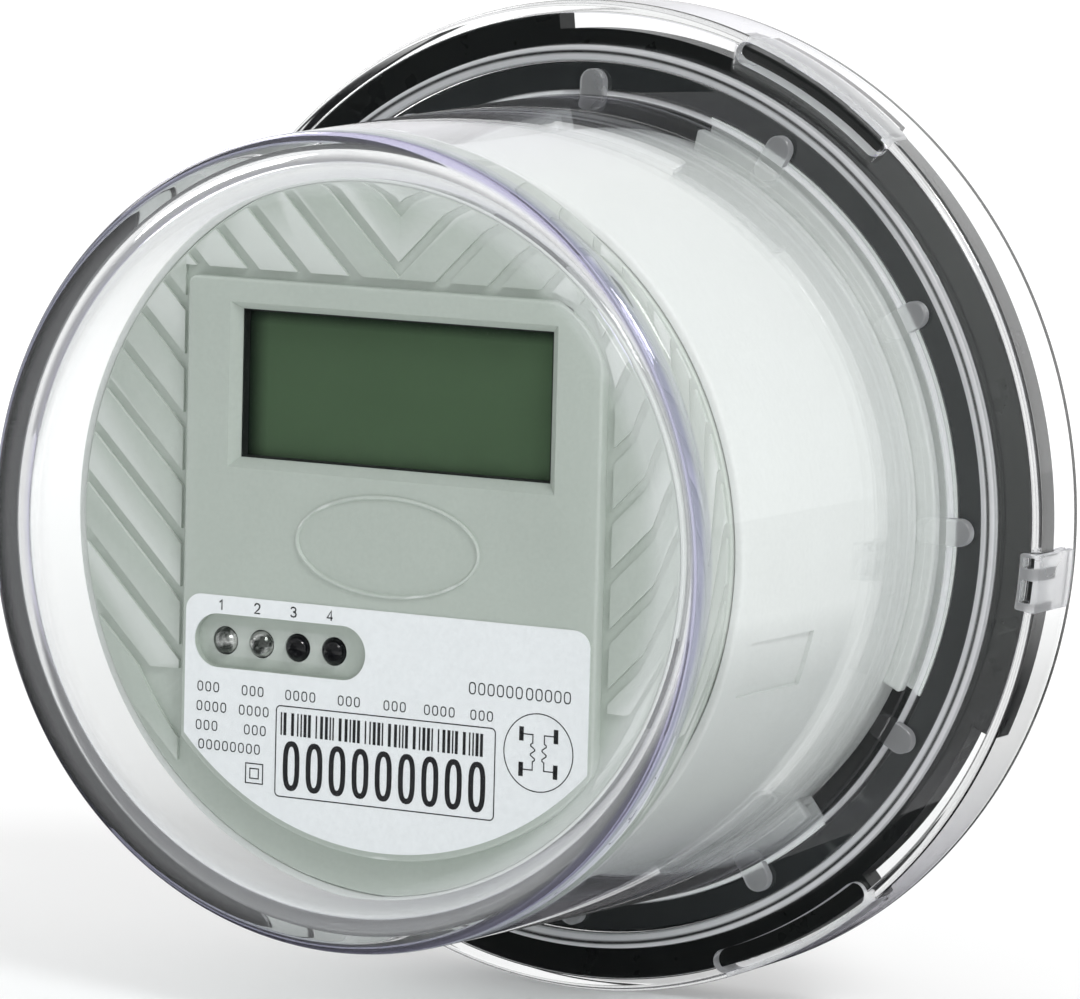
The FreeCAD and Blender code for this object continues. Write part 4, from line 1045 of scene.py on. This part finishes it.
def make_world():
    """White all round and a little darker in front. Rays mirrored once see a darker front, with a dark flag
    where the flat front faces mirror it, and rays mirrored twice see white."""
    world = bpy.data.worlds.new("studio")
    scene.world = world
    world.use_nodes = True
    nodes, links = world.node_tree.nodes, world.node_tree.links
    nodes.clear()

    def ramp(source, low, high, first, last):
        node = nodes.new("ShaderNodeMapRange")
        node.interpolation_type = "SMOOTHSTEP"
        for key, value in (("From Min", low), ("From Max", high), ("To Min", first), ("To Max", last)):
            node.inputs[key].default_value = value
        links.new(source, node.inputs["Value"])
        return node.outputs["Result"]

    where = nodes.new("ShaderNodeTexCoord").outputs["Generated"]
    split = nodes.new("ShaderNodeSeparateXYZ")
    links.new(where, split.inputs[0])
    behind = ramp(split.outputs["Y"], -0.5, 0.3, FRONT_LIGHT, BACK_LIGHT)
    mirrored = ramp(nodes.new("ShaderNodeLightPath").outputs["Glossy Depth"], 0.4, 0.6, 0.0, 1.0)
    seen = nodes.new("ShaderNodeMix")
    links.new(mirrored, seen.inputs[0])
    links.new(behind, seen.inputs[2])
    links.new(ramp(split.outputs["Y"], -0.3, 0.5, FRONT_MIRRORED, BACK_LIGHT), seen.inputs[3])
    towards = nodes.new("ShaderNodeVectorMath")
    towards.operation = "DOT_PRODUCT"
    links.new(where, towards.inputs[0])
    towards.inputs[1].default_value = FLAG_TOWARDS
    flag = ramp(towards.outputs["Value"], 0.76, 0.93, 1.0, 0.02)
    product = nodes.new("ShaderNodeMath")
    product.operation = "MULTIPLY"
    links.new(seen.outputs[0], product.inputs[0])
    links.new(flag, product.inputs[1])
    again = nodes.new("ShaderNodeMath")
    again.operation = "GREATER_THAN"
    again.inputs[1].default_value = TWICE
    links.new(nodes.new("ShaderNodeLightPath").outputs["Glossy Depth"], again.inputs[0])
    strength = nodes.new("ShaderNodeMix")
    links.new(again.outputs[0], strength.inputs[0])
    links.new(product.outputs[0], strength.inputs[2])
    strength.inputs[3].default_value = 0.95
    sky = nodes.new("ShaderNodeBackground")
    sky.inputs["Color"].default_value = (1.0, 1.0, 1.0, 1.0)
    links.new(strength.outputs[0], sky.inputs["Strength"])
    out = nodes.new("ShaderNodeOutputWorld")
    links.new(sky.outputs[0], out.inputs["Surface"])


def make_lights():
    softbox("key", (1.5, -0.9, 1.7), 0.6, 27)
    softbox("left", (-1.7, 0.3, 1.3), 1.0, 12)


make_camera()
make_cover()
make_base()
make_gasket()
make_housing()
make_faceplate()
make_label_print()
make_window_liner()
make_stage()
make_world()
make_lights()

LABEL = moulded("label_film", (0.84, 0.86, 0.87), 0.35, 0.6, 0.004, 0.5, 0.01, 0.0)
DISPLAY = display_glass()
BOARD = moulded("board_mask", (0.03, 0.16, 0.07), 0.35, 0.8, 0.01)
DARK = moulded("dark_plastic", (0.03, 0.03, 0.032), 0.4, 0.4, 0.01)
STEEL = metal("zinc_steel", (0.62, 0.63, 0.65))
TIN = metal("tin_plate", (0.74, 0.73, 0.70), 0.26)
COPPER = metal("copper_winding", (0.72, 0.36, 0.18), 0.3, (1.0, 1.0, 0.05), 1600.0)
CAN = metal("aluminium_can", (0.75, 0.76, 0.78), 0.34)
RUBBER = moulded("contact_rubber", (0.22, 0.23, 0.24), 0.7, 0.3, 0.015, 0.2)
CREAM = moulded("holder_plastic", (0.62, 0.61, 0.55), 0.45, 0.4, 0.01)
BLUE = moulded("epoxy_coating", (0.02, 0.09, 0.30), 0.3, 0.7, 0.02)
YELLOW = moulded("film_box", (0.62, 0.44, 0.06), 0.4, 0.5, 0.008)
GREY = moulded("ribbon_jacket", (0.34, 0.35, 0.36), 0.5, 0.3, 0.01)
RED = moulded("lead_insulation", (0.42, 0.03, 0.02), 0.4, 0.3, 0.01)
LAMP_DARK = moulded("dark_epoxy", (0.004, 0.004, 0.005), 0.05, 3.0, 0.001, 0.6, 0.05, 0.0)
LAMP_CLEAR = lamp_cup()

FINISH_OF_SLOT = {
    "label_film": LABEL,
    "clear_lamp": LAMP_CLEAR,
    "dark_lamp": LAMP_DARK,
    "display_glass": DISPLAY,
    "holder_plastic": CREAM,
    "contact_rubber": RUBBER,
    "circuit_board": BOARD,
    "steel_screws": STEEL,
    "steel_pins": STEEL,
    "plated_copper": TIN,
    "transformer_core": COPPER,
    "chip_plastic": DARK,
    "capacitor_plastic": YELLOW,
    "crystal_can": CAN,
    "capacitor_can": CAN,
    "varistor_coating": BLUE,
    "battery_can": STEEL,
    "socket_plastic": CREAM,
    "ribbon_plastic": GREY,
    "lead_insulation": RED,
}

for part in frame["record"]["subparts"]:
    dress_node(part["node"], FINISH_OF_SLOT.get(part["material_slot"], DARK))

scene.cycles.max_bounces = 24
scene.cycles.transmission_bounces = 20
scene.cycles.transparent_max_bounces = 24
scene.cycles.caustics_refractive = False
scene.cycles.caustics_reflective = False
